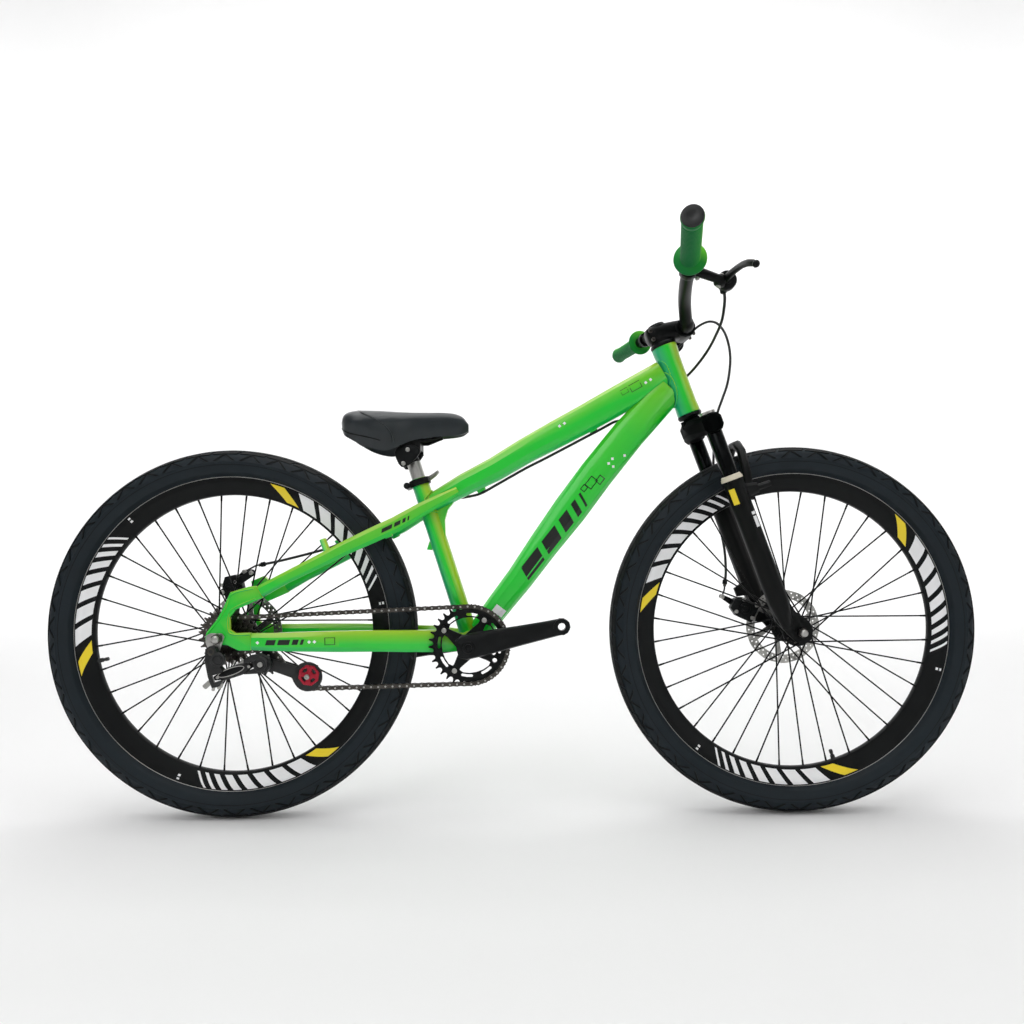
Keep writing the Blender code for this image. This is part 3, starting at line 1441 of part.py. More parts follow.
def make_levers():
    """Lever brackets clamped inboard of the grips, and short curved blades."""
    for name, side in (("left", 1), ("right", -1)):
        inner, outer = mirrored(BAR_RUN[-3], side), mirrored(BAR_RUN[-2], side)
        share = (LEVER_CLAMP - BAR_RUN[-3][1]) / (BAR_RUN[-2][1] - BAR_RUN[-3][1])
        centre = inner.lerp(outer, share)
        along = (outer - inner).normalized()
        ring = [(-0.0065, 0.0150), (0.0065, 0.0150)]
        bracket = add("lever_bracket_" + name, turned(ring, centre, along, 12), "black_paint", "steering")
        pivot = mirrored(LEVER_PIVOT, side)
        run = [
            (centre + Vector((0.008, 0, 0)), 0.0060, 0.0080),
            (pivot + Vector((-0.016, 0, 0.001)), 0.0065, 0.0068),
            (pivot + Vector((-0.008, 0, -0.002)), 0.0065, 0.0075),
        ]
        adjuster = rod(pivot + Vector((-0.0115, 0, -0.001)), mirrored(ADJUSTER_END, side), 0.0048, 8)
        shapes = [
            add("bracket_arm_" + name, loft(run, 8, 2.6), "black_paint", "steering"),
            add("bracket_adjuster_" + name, adjuster, "black_paint", "steering"),
        ]
        combine(bracket, "UNION", shapes)
        bore = rod(centre - along * 0.03, centre + along * 0.03, BAR_RADIUS + GAP, 12)
        combine(bracket, "DIFFERENCE", [add("bracket_cut_" + name, bore, "black_paint", "steering")])
        blade = [
            ((0.3395, 0.2000, 0.9120), 0.0050, 0.0070),
            ((0.3420, 0.2120, 0.9140), 0.0048, 0.0072),
            ((0.3455, 0.2320, 0.9150), 0.0040, 0.0062),
            ((0.3480, 0.2600, 0.9120), 0.0036, 0.0058),
            ((0.3475, 0.2850, 0.9050), 0.0036, 0.0056),
            ((0.3500, 0.3020, 0.8985), 0.0036, 0.0054),
            ((0.3530, 0.3085, 0.8945), 0.0028, 0.0040),
        ]
        sections = [(mirrored(point, side), width, height) for point, width, height in blade]
        add("brake_lever_" + name, loft(sections, 8), "black_paint", "lever_" + name)


# Brakes


CALIPER_REACH = 0.083


def make_caliper(name, bearing, plane, hub, body, arm_body, arm_tip):
    """A caliper astride the rotor: a block with a slot for the disc, and a lever arm outside it."""
    turn = Matrix.Rotation(math.pi / 2 - bearing, 4, "Y")
    outline = [
        (-0.020, -0.024),
        (0.012, -0.024),
        (0.016, -0.004),
        (0.016, 0.012),
        (0.008, 0.024),
        (-0.012, 0.024),
        (-0.021, 0.008),
    ]
    centre = hub + Vector((math.cos(bearing), 0, math.sin(bearing))) * CALIPER_REACH
    place = Matrix.Translation(centre) @ turn @ upright(0, plane + 0.0005, 0)
    made = add(name, slab(outline, 0.0185, place), "black_paint", body)
    disc = rod(hub + LEFT * (plane - 0.0021), hub + LEFT * (plane + 0.0021), ROTOR_RADIUS + 0.0015, 28)
    combine(made, "DIFFERENCE", [add(name + "_slot", disc, "black_paint", body)])
    pivot = bodies[arm_body][1]
    reach = Place(arm_tip[0] - pivot.x, arm_tip[1] - pivot.z)
    place = upright(pivot.x, plane + 0.0126, pivot.z)
    outline = cage_outline(Place(0, 0), reach, 0.0080, 0.0040)
    add(name + "_arm", slab(outline, 0.0050, place), "black_anodised", arm_body)


class Place:
    """A point in the plane of the wheels."""

    def __init__(self, x, z):
        self.x, self.z = x, z


REAR_BRAKE_CABLE = (
    (0.3403, -0.1824, 0.9029),
    (0.3430, -0.1775, 0.9010),
    (0.3490, -0.1600, 0.8900),
    (0.3556, -0.1200, 0.8719),
    (0.3561, -0.0800, 0.8579),
    (0.3524, -0.0400, 0.8424),
    (0.3400, -0.0050, 0.8225),
    (0.3240, 0.0190, 0.8055),
    (0.3000, 0.0290, 0.7870),
    (0.2500, 0.0275, 0.7550),
    (0.2150, 0.0265, 0.7330),
    (0.2010, 0.0170, 0.7260),
    (0.1880, 0.0070, 0.7215),
    (0.1619, 0.0000, 0.7068),
    (0.0650, 0.0000, 0.6565),
    (0.0231, 0.0000, 0.6355),
    (-0.0325, 0.0000, 0.6045),
    (-0.0605, 0.0040, 0.5900),
    (-0.0880, 0.0210, 0.5850),
    (-0.1110, 0.0330, 0.5825),
    (-0.1400, 0.0370, 0.5760),
    (-0.1671, 0.0390, 0.5680),
    (-0.2100, 0.0410, 0.5550),
    (-0.2500, 0.0440, 0.5355),
    (-0.3000, 0.0430, 0.5110),
    (-0.3300, 0.0418, 0.4990),
    (-0.3600, 0.0450, 0.4885),
    (-0.4400, 0.0575, 0.4690),
    (-0.4900, 0.0620, 0.4590),
)
FRONT_BRAKE_CABLE = (
    (0.3409, 0.1814, 0.9026),
    (0.3435, 0.1770, 0.9022),
    (0.3520, 0.1690, 0.9100),
    (0.3690, 0.1600, 0.9300),
    (0.3850, 0.1490, 0.9425),
    (0.4010, 0.1300, 0.9445),
    (0.4150, 0.1150, 0.9330),
    (0.4270, 0.1040, 0.9050),
    (0.4315, 0.0950, 0.8620),
    (0.4238, 0.0870, 0.8120),
    (0.4117, 0.0855, 0.7768),
    (0.4020, 0.0855, 0.7473),
    (0.3965, 0.0865, 0.7000),
    (0.3950, 0.0885, 0.6400),
    (0.3985, 0.0890, 0.5900),
    (0.4012, 0.0888, 0.5606),
    (0.4080, 0.0860, 0.5200),
    (0.4135, 0.0800, 0.4816),
    (0.4130, 0.0700, 0.4400),
    (0.4080, 0.0620, 0.4120),
)
CABLE_RADIUS = 0.0025


def make_cable(name, route, body):
    curve = bpy.data.curves.new(name, "CURVE")
    curve.dimensions = "3D"
    curve.bevel_depth = CABLE_RADIUS
    curve.bevel_resolution = 2
    curve.use_fill_caps = True
    points = smooth_run(route, CABLE_RADIUS * 6.4)
    spline = curve.splines.new("POLY")
    spline.points.add(len(points) - 1)
    for made, point in zip(spline.points, points):
        made.co = (*(point - bodies[body][1]), 1)
    curve.materials.append(finish("cable_housing"))
    cable = bpy.data.objects.new(name, curve)
    bpy.context.scene.collection.objects.link(cable)
    cable.parent = bodies[body][0]
    length = sum((b - a).length for a, b in zip(points, points[1:]))
    print(name, "length", round(length, 3))


def make_bodies(tension):
    add_body("frame", ORIGIN)
    add_body("steering", HEAD_MIDDLE, "frame")
    add_body("fork_lowers", fork_point(LOWER_TOP, LEG_OFFSET), "steering")
    add_body("front_wheel", FRONT_HUB, "fork_lowers")
    add_body("rear_wheel", REAR_HUB, "frame")
    add_body("cassette", REAR_HUB, "frame")
    add_body("crankset", BRACKET_CENTRE, "frame")
    add_body("derailleur_link", (-0.5110, -0.0812, 0.2700), "frame")
    add_body("derailleur_knuckle", (-0.4620, -0.0683, 0.2862), "derailleur_link")
    add_body("derailleur_cage", GUIDE_PULLEY_CENTRE, "derailleur_knuckle")
    add_body("guide_pulley", GUIDE_PULLEY_CENTRE, "derailleur_cage")
    add_body("tension_pulley", (tension.x, CHAIN_LINE, tension.z), "derailleur_cage")
    add_body("lever_left", LEVER_PIVOT, "steering")
    add_body("lever_right", mirrored(LEVER_PIVOT, -1), "steering")
    add_body("front_arm", (0.4361, 0.0526, 0.3722), "fork_lowers")
    add_body("rear_arm", (-0.5400, 0.0626, 0.4190), "frame")
    add_body("seatpost", SEAT_TOP, "frame")
    add_body("saddle", BRACKET_CENTRE + UP_SEAT * CLAMP_HEIGHT, "seatpost")
    bolt = BRACKET_CENTRE + UP_SEAT * (SEAT_TUBE_LENGTH - 0.007) + Vector((-0.0225, 0.0185, -0.007))
    add_body("qr_lever", bolt, "frame")


def main():
    clear_scene()
    (ring, tension, guide, cog), links = chain_layout()
    make_bodies(tension)
    placed = chain_points([ring, tension, guide, cog], links)
    print("chain links", links, "tension pulley", round(tension.x, 4), round(tension.z, 4))
    make_head_tube()
    make_main_tubes()
    make_seat_tube()
    make_shell()
    make_stays()
    make_dropouts()
    make_seat()
    make_wheels()
    make_chain(placed)
    make_chainring(ring)
    make_cranks()
    make_cassette(cog)
    make_derailleur(guide, tension)
    make_crown()
    make_lowers()
    make_stem()
    make_bar()
    make_levers()
    front, rear = math.radians(153.6), math.radians(103)
    make_caliper("front_caliper", front, 0.0400, FRONT_HUB, "fork_lowers", "front_arm", (0.4000, 0.3930))
    make_caliper("rear_caliper", rear, 0.0500, REAR_HUB, "frame", "rear_arm", (-0.5170, 0.4470))
    make_cable("rear_brake_cable", REAR_BRAKE_CABLE, "frame")
    make_cable("front_brake_cable", FRONT_BRAKE_CABLE, "steering")


main()
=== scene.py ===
"""Dresses the solids of a freeride bike for a studio picture and for export.

Every piece rides on the body of the solid that it stands for or is fixed to.
"""

import json
import math
from contextlib import contextmanager

import bpy
from bpy.props import FloatProperty, FloatVectorProperty, IntProperty, PointerProperty
from mathutils import Matrix, Vector

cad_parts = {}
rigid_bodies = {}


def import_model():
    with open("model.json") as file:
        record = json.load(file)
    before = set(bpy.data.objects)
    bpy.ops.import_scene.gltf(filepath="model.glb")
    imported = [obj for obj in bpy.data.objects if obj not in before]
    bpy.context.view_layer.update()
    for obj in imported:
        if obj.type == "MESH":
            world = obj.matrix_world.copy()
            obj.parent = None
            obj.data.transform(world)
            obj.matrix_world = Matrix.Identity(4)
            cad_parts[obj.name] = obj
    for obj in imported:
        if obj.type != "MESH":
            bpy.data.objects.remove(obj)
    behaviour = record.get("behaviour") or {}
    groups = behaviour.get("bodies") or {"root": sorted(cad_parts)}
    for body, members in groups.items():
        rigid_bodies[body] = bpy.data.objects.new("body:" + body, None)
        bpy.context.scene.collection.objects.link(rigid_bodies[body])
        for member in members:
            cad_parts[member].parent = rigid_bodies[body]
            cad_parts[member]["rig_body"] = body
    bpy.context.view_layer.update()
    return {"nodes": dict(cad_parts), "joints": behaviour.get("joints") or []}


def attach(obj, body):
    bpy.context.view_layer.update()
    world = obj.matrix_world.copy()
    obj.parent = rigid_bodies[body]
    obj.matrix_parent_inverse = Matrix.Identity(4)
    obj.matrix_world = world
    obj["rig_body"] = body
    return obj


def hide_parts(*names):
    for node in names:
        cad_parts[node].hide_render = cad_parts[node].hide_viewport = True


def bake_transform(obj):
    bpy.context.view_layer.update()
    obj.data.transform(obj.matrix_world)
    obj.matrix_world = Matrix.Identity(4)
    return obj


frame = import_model()

bl_info = {
    "name": "Freeride Bike Looks",
    "version": (1, 0, 0),
    "blender": (4, 5, 0),
    "location": "View3D > Sidebar > Bike",
    "description": "Surfaces, small parts and finishes for a hardtail freeride bike",
    "category": "Object",
}

# Sizes shared with the solids, in metres

TURN = 2 * math.pi
REAR_HUB = Vector((-0.5125, 0, 0.336))
FRONT_HUB = Vector((0.5125, 0, 0.336))
CHAIN_LINE = -0.0478
CHAIN_PITCH = 0.0127
FORK_TILT = math.radians(20.4)
SEAT_TILT = math.radians(17.5)
DOWN = Vector((math.sin(FORK_TILT), 0, -math.cos(FORK_TILT)))
AHEAD = Vector((math.cos(FORK_TILT), 0, math.sin(FORK_TILT)))
HEAD = FRONT_HUB - DOWN * 0.5046 - AHEAD * 0.035
HEAD_HALF = 0.066
LEG_AHEAD, LEG_OFFSET = 0.012, 0.065
UP_SEAT = Vector((-math.sin(SEAT_TILT), 0, math.cos(SEAT_TILT)))
LEFT = Vector((0, 1, 0))
PLACES = {joint["name"]: Vector(joint.get("pos_m", (0, 0, 0))) for joint in frame["joints"]}
BRACKET = PLACES["crank_spin"]
GUIDE = PLACES["guide_spin"]
TENSION = PLACES["tension_spin"]
RING_TEETH, PULLEY_TEETH, COG_TEETH, CHAIN_COG = 34, 11, (24, 21, 18, 16, 14, 13, 12), 16
COG_SPACING = 0.005
RING_TURN, RING_BOLTS, RING_BOLT_CIRCLE, RING_HOLE = math.radians(59), 4, 0.052, 0.0042
DISC_BOLTS, DISC_BOLT_CIRCLE = 6, 0.0168
SPOKES, SPOKE_CIRCLE, NIPPLE_CIRCLE = 36, 0.022, 0.2546
WHEEL_STEPS = 144
# Films start this far from the middle plane and are pressed on to the tubes
FILM_START = 0.1
DOT_REACH = 0.0032

# The photograph's camera, fitted to both wheels: metres, radians, and pixels of a square picture
CAMERA_PLACE = (0.013788, -1.346213, 0.501028)
CAMERA_YAW, CAMERA_PITCH, CAMERA_ROLL = 0.0086006, -0.0030727, 0.0068528
PICTURE, FOCAL, CENTRE = 1024, 729.1005, (526.8686, 543.7647)
SENSOR = 36

REAR_CABLE = (
    (0.3403, -0.1824, 0.9029), (0.3430, -0.1775, 0.9010), (0.3490, -0.1600, 0.8900),
    (0.3556, -0.1200, 0.8719), (0.3561, -0.0800, 0.8579), (0.3524, -0.0400, 0.8424),
    (0.3400, -0.0050, 0.8225), (0.3240, 0.0190, 0.8055), (0.3000, 0.0290, 0.7870),
    (0.2500, 0.0275, 0.7550), (0.2150, 0.0265, 0.7330), (0.2010, 0.0170, 0.7260),
    (0.1880, 0.0070, 0.7215), (0.1619, 0.0000, 0.7068), (0.0650, 0.0000, 0.6565),
    (0.0231, 0.0000, 0.6355), (-0.0325, 0.0000, 0.6045), (-0.0605, 0.0040, 0.5900),
    (-0.0880, 0.0210, 0.5850), (-0.1110, 0.0330, 0.5825), (-0.1400, 0.0370, 0.5760),
    (-0.1671, 0.0390, 0.5680), (-0.2100, 0.0410, 0.5550), (-0.2500, 0.0440, 0.5355),
    (-0.3000, 0.0430, 0.5110), (-0.3300, 0.0418, 0.4990), (-0.3600, 0.0450, 0.4885),
    (-0.4400, 0.0575, 0.4690), (-0.4900, 0.0620, 0.4590),
)
FRONT_CABLE = (
    (0.3409, 0.1814, 0.9026), (0.3435, 0.1770, 0.9022), (0.3520, 0.1690, 0.9100),
    (0.3690, 0.1600, 0.9300), (0.3850, 0.1490, 0.9425), (0.4010, 0.1300, 0.9445),
    (0.4150, 0.1150, 0.9330), (0.4270, 0.1040, 0.9050), (0.4315, 0.0950, 0.8620),
    (0.4238, 0.0870, 0.8120), (0.4117, 0.0855, 0.7768), (0.4020, 0.0855, 0.7473),
    (0.3965, 0.0865, 0.7000), (0.3950, 0.0885, 0.6400), (0.3985, 0.0890, 0.5900),
    (0.4012, 0.0888, 0.5606), (0.4080, 0.0860, 0.5200), (0.4135, 0.0800, 0.4816),
    (0.4130, 0.0700, 0.4400), (0.4080, 0.0620, 0.4120),
)
BAR_RUN = (
    (0.3168, 0.000, 0.8893), (0.3168, 0.030, 0.8893), (0.3110, 0.048, 0.8945),
    (0.3000, 0.088, 0.9120), (0.2880, 0.150, 0.9210), (0.2776, 0.225, 0.9302),
    (0.2484, 0.365, 0.9364),
)
# Distance from the tail, half width, top, bottom of the side wings, underside between them
SADDLE_STATIONS = (
    (0.0000, 0.0440, 0.7245, 0.7000, 0.7030), (0.0055, 0.0580, 0.7340, 0.6920, 0.7010),
    (0.0180, 0.0680, 0.7388, 0.6840, 0.7000), (0.0370, 0.0725, 0.7402, 0.6740, 0.7000),
    (0.0570, 0.0700, 0.7402, 0.6675, 0.7000), (0.0795, 0.0600, 0.7398, 0.6650, 0.7000),
    (0.1000, 0.0450, 0.7392, 0.6740, 0.7000), (0.1230, 0.0340, 0.7388, 0.6850, 0.7000),
    (0.1480, 0.0270, 0.7388, 0.6900, 0.7000), (0.1730, 0.0235, 0.7388, 0.6930, 0.7000),
    (0.1980, 0.0210, 0.7365, 0.6950, 0.7000), (0.2130, 0.0165, 0.7300, 0.6980, 0.7010),
    (0.2230, 0.0080, 0.7180, 0.7040, 0.7050),
)
SADDLE_TAIL = -0.3037


def linear(code):
    """The linear colour of an sRGB hex value."""
    parts = [int(code[i : i + 2], 16) / 255 for i in (0, 2, 4)]
    return tuple(p / 12.92 if p < 0.04045 else ((p + 0.055) / 1.055) ** 2.4 for p in parts)


def hue(label, text, code):
    return FloatVectorProperty(
        name=label, description=text, subtype="COLOR", size=3, min=0, max=1, default=linear(code)
    )


class BikeSizes(bpy.types.PropertyGroup):
    """Sizes that a user would change."""

    tread_rows: IntProperty(
        name="Tread rows", description="Rows of blocks round each tyre", default=42, min=30, max=140
    )
    tread_height: FloatProperty(
        name="Tread height", description="How far the blocks stand from the casing", default=0.0014,
        min=0.0005, max=0.004, unit="LENGTH",
    )
    spoke_radius: FloatProperty(
        name="Spoke radius", description="Half a spoke's thickness", default=0.0014, min=0.0006,
        max=0.002, unit="LENGTH",
    )
    rotor_holes: IntProperty(
        name="Rotor holes", description="Holes in each row of a brake disc", default=36, min=12, max=60
    )
    key_power: FloatProperty(
        name="Key light", description="Power of the large soft light", default=20, min=0, unit="POWER"
    )


class BikeColours(bpy.types.PropertyGroup):
    """Colours of the finishes."""

    frame_green: hue("Frame green", "Main colour of the frame's paint", "03D42C")
    # The upper green is painted highlight and the lower green is painted shade, mixed into the paint by the
    # way that a surface faces
    frame_painted_highlight: hue("Upper green", "The paint where it faces up", "A2D015")
    frame_painted_shade: hue("Lower green", "The paint where it faces down", "0CB07A")
    # The upper grip green is painted highlight and the lower grip green is painted shade, mixed in by the way
    # that the rubber faces
    grip_painted_highlight: hue("Upper grip green", "The grips where they face up and ahead", "5FC01C")
    grip_painted_shade: hue("Lower grip green", "The grips where they face down", "0A6C36")
    grip_green: hue("Grip green", "The grips' rubber", "0B8A2B")
    tyre_black: hue("Tyre black", "The tyres' rubber", "0B181F")
    # The tread's blocks are real; their colour, darker than the casing, is painted shade that makes them show
    # as dark grooves
    tread_black_painted_groove_shade: hue("Tread black", "The tread's harder rubber", "04080A")
    black_gloss: hue("Gloss black", "Paint of fork, stem and bar", "040606")
    black_satin: hue("Satin black", "Anodised parts", "070A0B")
    steel: hue("Bright steel", "Post, discs and levers", "B9B8B4")
    dark_steel: hue("Dark steel", "Chain and cogs", "4D4A46")
    cream: hue("Cream", "Fork seals", "DCD3BE")
    red: hue("Red", "Guard of the tension pulley", "A80E2A")
    white: hue("White film", "Light marks on rims and frame", "FCFDFF")
    yellow: hue("Yellow film", "Yellow marks on rims and fork", "FFE02A")
    saddle: hue("Saddle cover", "The saddle's leatherette", "0F191E")
    floor: hue("Floor", "The studio's floor", "F4F4F4")


# Modelling helpers


def only(ob):
    """Deselects everything but ob, and makes it active."""
    if bpy.context.object and bpy.context.object.mode != "OBJECT":
        bpy.ops.object.mode_set(mode="OBJECT")
    bpy.ops.object.select_all(action="DESELECT")
    ob.select_set(True)
    bpy.context.view_layer.objects.active = ob
    return ob


def linked(name, data):
    ob = bpy.data.objects.new(name, data)
    bpy.context.scene.collection.objects.link(ob)
    return ob


def new_mesh(name, points, edges=(), faces=()):
    data = bpy.data.meshes.new(name)
    data.from_pydata([tuple(p) for p in points], [tuple(e) for e in edges], [tuple(f) for f in faces])
    return only(linked(name, data))


@contextmanager
def editing(ob):
    """Edit mode with everything selected, and object mode after it."""
    only(ob)
    bpy.ops.object.mode_set(mode="EDIT")
    bpy.ops.mesh.select_all(action="SELECT")
    yield
    bpy.ops.object.mode_set(mode="OBJECT")


def modify(ob, kind, **settings):
    """Adds a modifier with its settings and applies it."""
    only(ob)
    bpy.ops.object.modifier_add(type=kind)
    made = ob.modifiers[-1]
    for key, value in settings.items():
        setattr(made, key, value)
    bpy.ops.object.modifier_apply(modifier=made.name)
    return ob


def clean(ob, merge=0.00001):
    """Merges doubles and points the faces outward."""
    with editing(ob):
        bpy.ops.mesh.remove_doubles(threshold=merge)
        bpy.ops.mesh.normals_make_consistent(inside=False)
    return ob


def shade(ob, degrees=35):
    only(ob)
    bpy.ops.object.shade_smooth_by_angle(angle=math.radians(degrees))
    return ob


def lathe(name, profile, centre=(0, 0, 0), axis=(0, 0, 1), steps=48, closed=False, degrees=35):
    """Spins a profile of (along the axis, radius) points once round the axis."""
    centre, axis = Vector(centre), Vector(axis).normalized()
    side = axis.orthogonal().normalized()
    count = len(profile)
    edges = [(i, i + 1) for i in range(count - 1)] + ([(count - 1, 0)] if closed else [])
    ob = new_mesh(name, [centre + axis * along + side * radius for along, radius in profile], edges)
    with editing(ob):
        bpy.ops.mesh.spin(steps=steps, angle=TURN, center=centre, axis=axis)
    return shade(clean(ob), degrees)


def rod(name, start, end, radius, steps=16, degrees=50):
    start, end = Vector(start), Vector(end)
    length = (end - start).length
    lip = min(radius, length) * 0.12
    profile = [
        (0, 0), (0, radius - lip), (lip, radius), (length - lip, radius), (length, radius - lip), (length, 0),
    ]
    return lathe(name, profile, start, end - start, steps, degrees=degrees)


def curve_mesh(name, runs, closed, radii=None, **settings):
    """A mesh made from straight runs of points with a curve's settings."""
    data = bpy.data.curves.new(name, "CURVE")
    for key, value in settings.items():
        setattr(data, key, value)
    for run in runs:
        spline = data.splines.new("POLY")
        spline.points.add(len(run) - 1)
        for index, point in enumerate(run):
            spline.points[index].co = (*point, 1)
            spline.points[index].radius = radii[index] if radii else 1.0
        spline.use_cyclic_u = closed
    only(linked(name, data))
    bpy.ops.object.convert(target="MESH")
    return bpy.context.object


def sweep(name, points, radius, rounds=4, radii=None, degrees=40, closed=False):
    """A tube along points; radii are shares of radius."""
    ob = curve_mesh(
        name, [points], closed, radii, dimensions="3D", bevel_depth=radius, bevel_resolution=rounds,
        use_fill_caps=True,
    )
    return shade(clean(ob), degrees)


def plate(name, loops, thickness, place, bevel=0.0, degrees=30):
    """A flat shape with holes, as thick as given, with its edges eased."""
    ob = curve_mesh(
        name, [[(x, y, 0) for x, y in loop] for loop in loops], True, dimensions="2D", fill_mode="BOTH",
        extrude=thickness / 2 - bevel, bevel_depth=bevel, bevel_resolution=1, offset=-bevel,
    )
    ob.data.transform(place)
    return shade(clean(ob), degrees)


def upright(x, y, z):
    """Stands a flat shape up in the plane of the wheels."""
    return Matrix.Translation((x, y, z)) @ Matrix.Rotation(math.pi / 2, 4, "X")


def polar(radius, angle, centre=(0.0, 0.0)):
    return centre[0] + radius * math.cos(angle), centre[1] + radius * math.sin(angle)


def around(hub, radius, angle, out=0.0):
    """A point at a radius and an angle round a hub, and so far out to the bike's left."""
    x, z = polar(radius, angle)
    return hub + Vector((x, out, z))


def angles(count, phase=0.0):
    return [phase + TURN * i / count for i in range(count)]


def circle(radius, count, centre=(0.0, 0.0), phase=0.0):
    return [polar(radius, angle, centre) for angle in angles(count, phase)]


def notched(high, low, ridges):
    """A round outline with ridges."""
    reaches = [high if number % 4 in (0, 1) else low for number in range(ridges * 4)]
    return [polar(reach, TURN * number / len(reaches)) for number, reach in enumerate(reaches)]


def ring(count, squareness):
    """A rounded square's outline, as shares of its half width and half height."""
    power = 2 / squareness
    made = []
    for angle in angles(count, math.pi / count):
        across, up = math.cos(angle), math.sin(angle)
        made.append((math.copysign(abs(across) ** power, across), math.copysign(abs(up) ** power, up)))
    return made


def loop_edges(first, count):
    return [(first + i, first + (i + 1) % count) for i in range(count)]


def bridge(name, points, edges):
    """Rings of edges bridged in turn, with both ends filled."""
    ob = new_mesh(name, points, edges)
    with editing(ob):
        bpy.ops.mesh.bridge_edge_loops(type="SINGLE")
        bpy.ops.mesh.select_all(action="SELECT")
        bpy.ops.mesh.fill_holes(sides=0)
    return clean(ob)


def loft(name, sections, count=24, squareness=2.0, upward=(0, 0, 1), degrees=40):
    """A closed skin over sections given as (centre, half width, half height)."""
    centres = [Vector(s[0]) for s in sections]
    outline = ring(count, squareness)
    points, edges = [], []
    for index, (centre, half_width, half_height) in enumerate(sections):
        before, after = centres[max(index - 1, 0)], centres[min(index + 1, len(centres) - 1)]
        along = (after - before).normalized()
        side = along.cross(Vector(upward)).normalized()
        up = side.cross(along)
        edges += loop_edges(len(points), count)
        points += [Vector(centre) + side * x * half_width + up * y * half_height for x, y in outline]
    return shade(bridge(name, points, edges), degrees)


def copies(name, first, places):
    """Joins one copy of first for each place, each with its own mesh, and removes first."""
    made = []
    for place in places:
        data = first.data.copy()
        data.transform(place)
        made.append(linked(name, data))
    bpy.data.objects.remove(first)
    return join(name, made)


def join(name, obs):
    only(obs[0])
    for ob in obs:
        ob.select_set(True)
    if len(obs) > 1:
        bpy.ops.object.join()
    ob = bpy.context.object
    ob.name = name
    return ob


def round_edges(ob, width, degrees=35, segments=2):
    return modify(
        ob, "BEVEL", width=width, segments=segments, limit_method="ANGLE", angle_limit=math.radians(degrees),
        harden_normals=False,
    )


def shell_of(ob, thickness):
    """Gives a thin sheet its thickness, outward from what it lies on."""
    return clean(modify(ob, "SOLIDIFY", thickness=thickness, offset=1), 0.000001)


def lay_on(ob, target, gap, side):
    """Presses a sheet across the bike on to target, from the given side, and leaves a gap."""
    return modify(
        ob, "SHRINKWRAP", target=target, wrap_method="PROJECT", use_project_y=True,
        use_positive_direction=side < 0, use_negative_direction=side > 0, offset=gap,
    )


def grid_faces(rows, columns, first=0, flipped=False):
    """Quads over a grid of points that starts at index first."""
    made = []
    for i in range(rows):
        for j in range(columns):
            corner = first + i * (columns + 1) + j
            face = (corner, corner + 1, corner + columns + 2, corner + columns + 1)
            made.append(face[::-1] if flipped else face)
    return made


def in_patch(corners, along, across):
    """The point at two shares of the way over a patch with four corners."""
    a, b, c, d = [Vector(corner) for corner in corners]
    return a.lerp(b, along).lerp(d.lerp(c, along), across)


def grid_sheet(corners, across, along, y):
    """An upright sheet between four corners (x, z), divided so that it can follow a curve."""
    points = []
    for i in range(along + 1):
        for j in range(across + 1):
            spot = in_patch(corners, i / along, j / across)
            points.append((spot.x, y, spot.y))
    return new_mesh("sheet", points, (), grid_faces(along, across, flipped=y > 0))


def smooth_run(points, steps=8):
    """More points on a smooth curve through the given ones."""
    points = [Vector(p) for p in points]
    ends = [points[0] * 2 - points[1], *points, points[-1] * 2 - points[-2]]
    made = []
    for a, b, c, d in zip(ends, ends[1:], ends[2:], ends[3:]):
        for step in range(steps):
            t = step / steps
            made.append(
                0.5 * (
                    b * 2 + (c - a) * t + (a * 2 - b * 5 + c * 4 - d) * t**2
                    + (b * 3 - a - c * 3 + d) * t**3
                )
            )
    return made + [points[-1]]


def between(start, end):
    """Takes a piece made from 0 to 1 up the Z axis to the line from start to end."""
    along = Vector(end) - Vector(start)
    turn = along.to_track_quat("Z", "Y").to_matrix().to_4x4()
    return Matrix.Translation(start) @ turn @ Matrix.Diagonal((1, 1, along.length, 1))


def facing(point, axis):
    """Takes a piece made up the Z axis to a point, with its Z along axis."""
    return Matrix.Translation(point) @ Vector(axis).to_track_quat("Z", "Y").to_matrix().to_4x4()


def fork_point(down, ahead, left=0.0):
    return HEAD + DOWN * down + AHEAD * ahead + LEFT * left


def leg_point(down, side):
    """A point on a fork leg's axis."""
    return fork_point(down, LEG_AHEAD, LEG_OFFSET * side)


def mirrored(point, side):
    return Vector((point[0], point[1] * side, point[2]))


def settle(ob, finish_name, body, nodes=()):
    """Gives a finished piece its finish and body, and hides the solids that it stands for."""
    ob.data.materials.clear()
    ob.data.materials.append(finish(finish_name))
    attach(ob, body)
    if nodes:
        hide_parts(*nodes)
    return ob


def dress(solid, finish_name, degrees=25, edge=0.0007, segments=2):
    """A rounded, smoothly shaded copy that stands for a solid."""
    source = frame["nodes"][solid]
    ob = linked(solid + "_skin", source.data.copy())
    with editing(ob):
        bpy.ops.mesh.remove_doubles(threshold=0.00001)
        bpy.ops.mesh.dissolve_limited(angle_limit=math.radians(0.5))
    round_edges(ob, edge, degrees, segments)
    shade(ob, degrees + 5)
    return settle(ob, finish_name, source["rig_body"], [solid])


# Finishes

# The way that the painted highlight faces, with the painted shade opposite: ahead and up, as the light in the
# photograph falls
PAINTED_LIGHT_DIRECTION = (0.6, 0.0, 0.8)


def node(tree, kind, links=None, values=None, **settings):
    """Adds a node with its settings, its sockets' values and its links."""
    made = tree.nodes.new(kind)
    for key, value in settings.items():
        setattr(made, key, value)
    for key, value in (values or {}).items():
        made.inputs[key].default_value = value
    for key, socket in (links or {}).items():
        tree.links.new(socket, made.inputs[key])
    return made


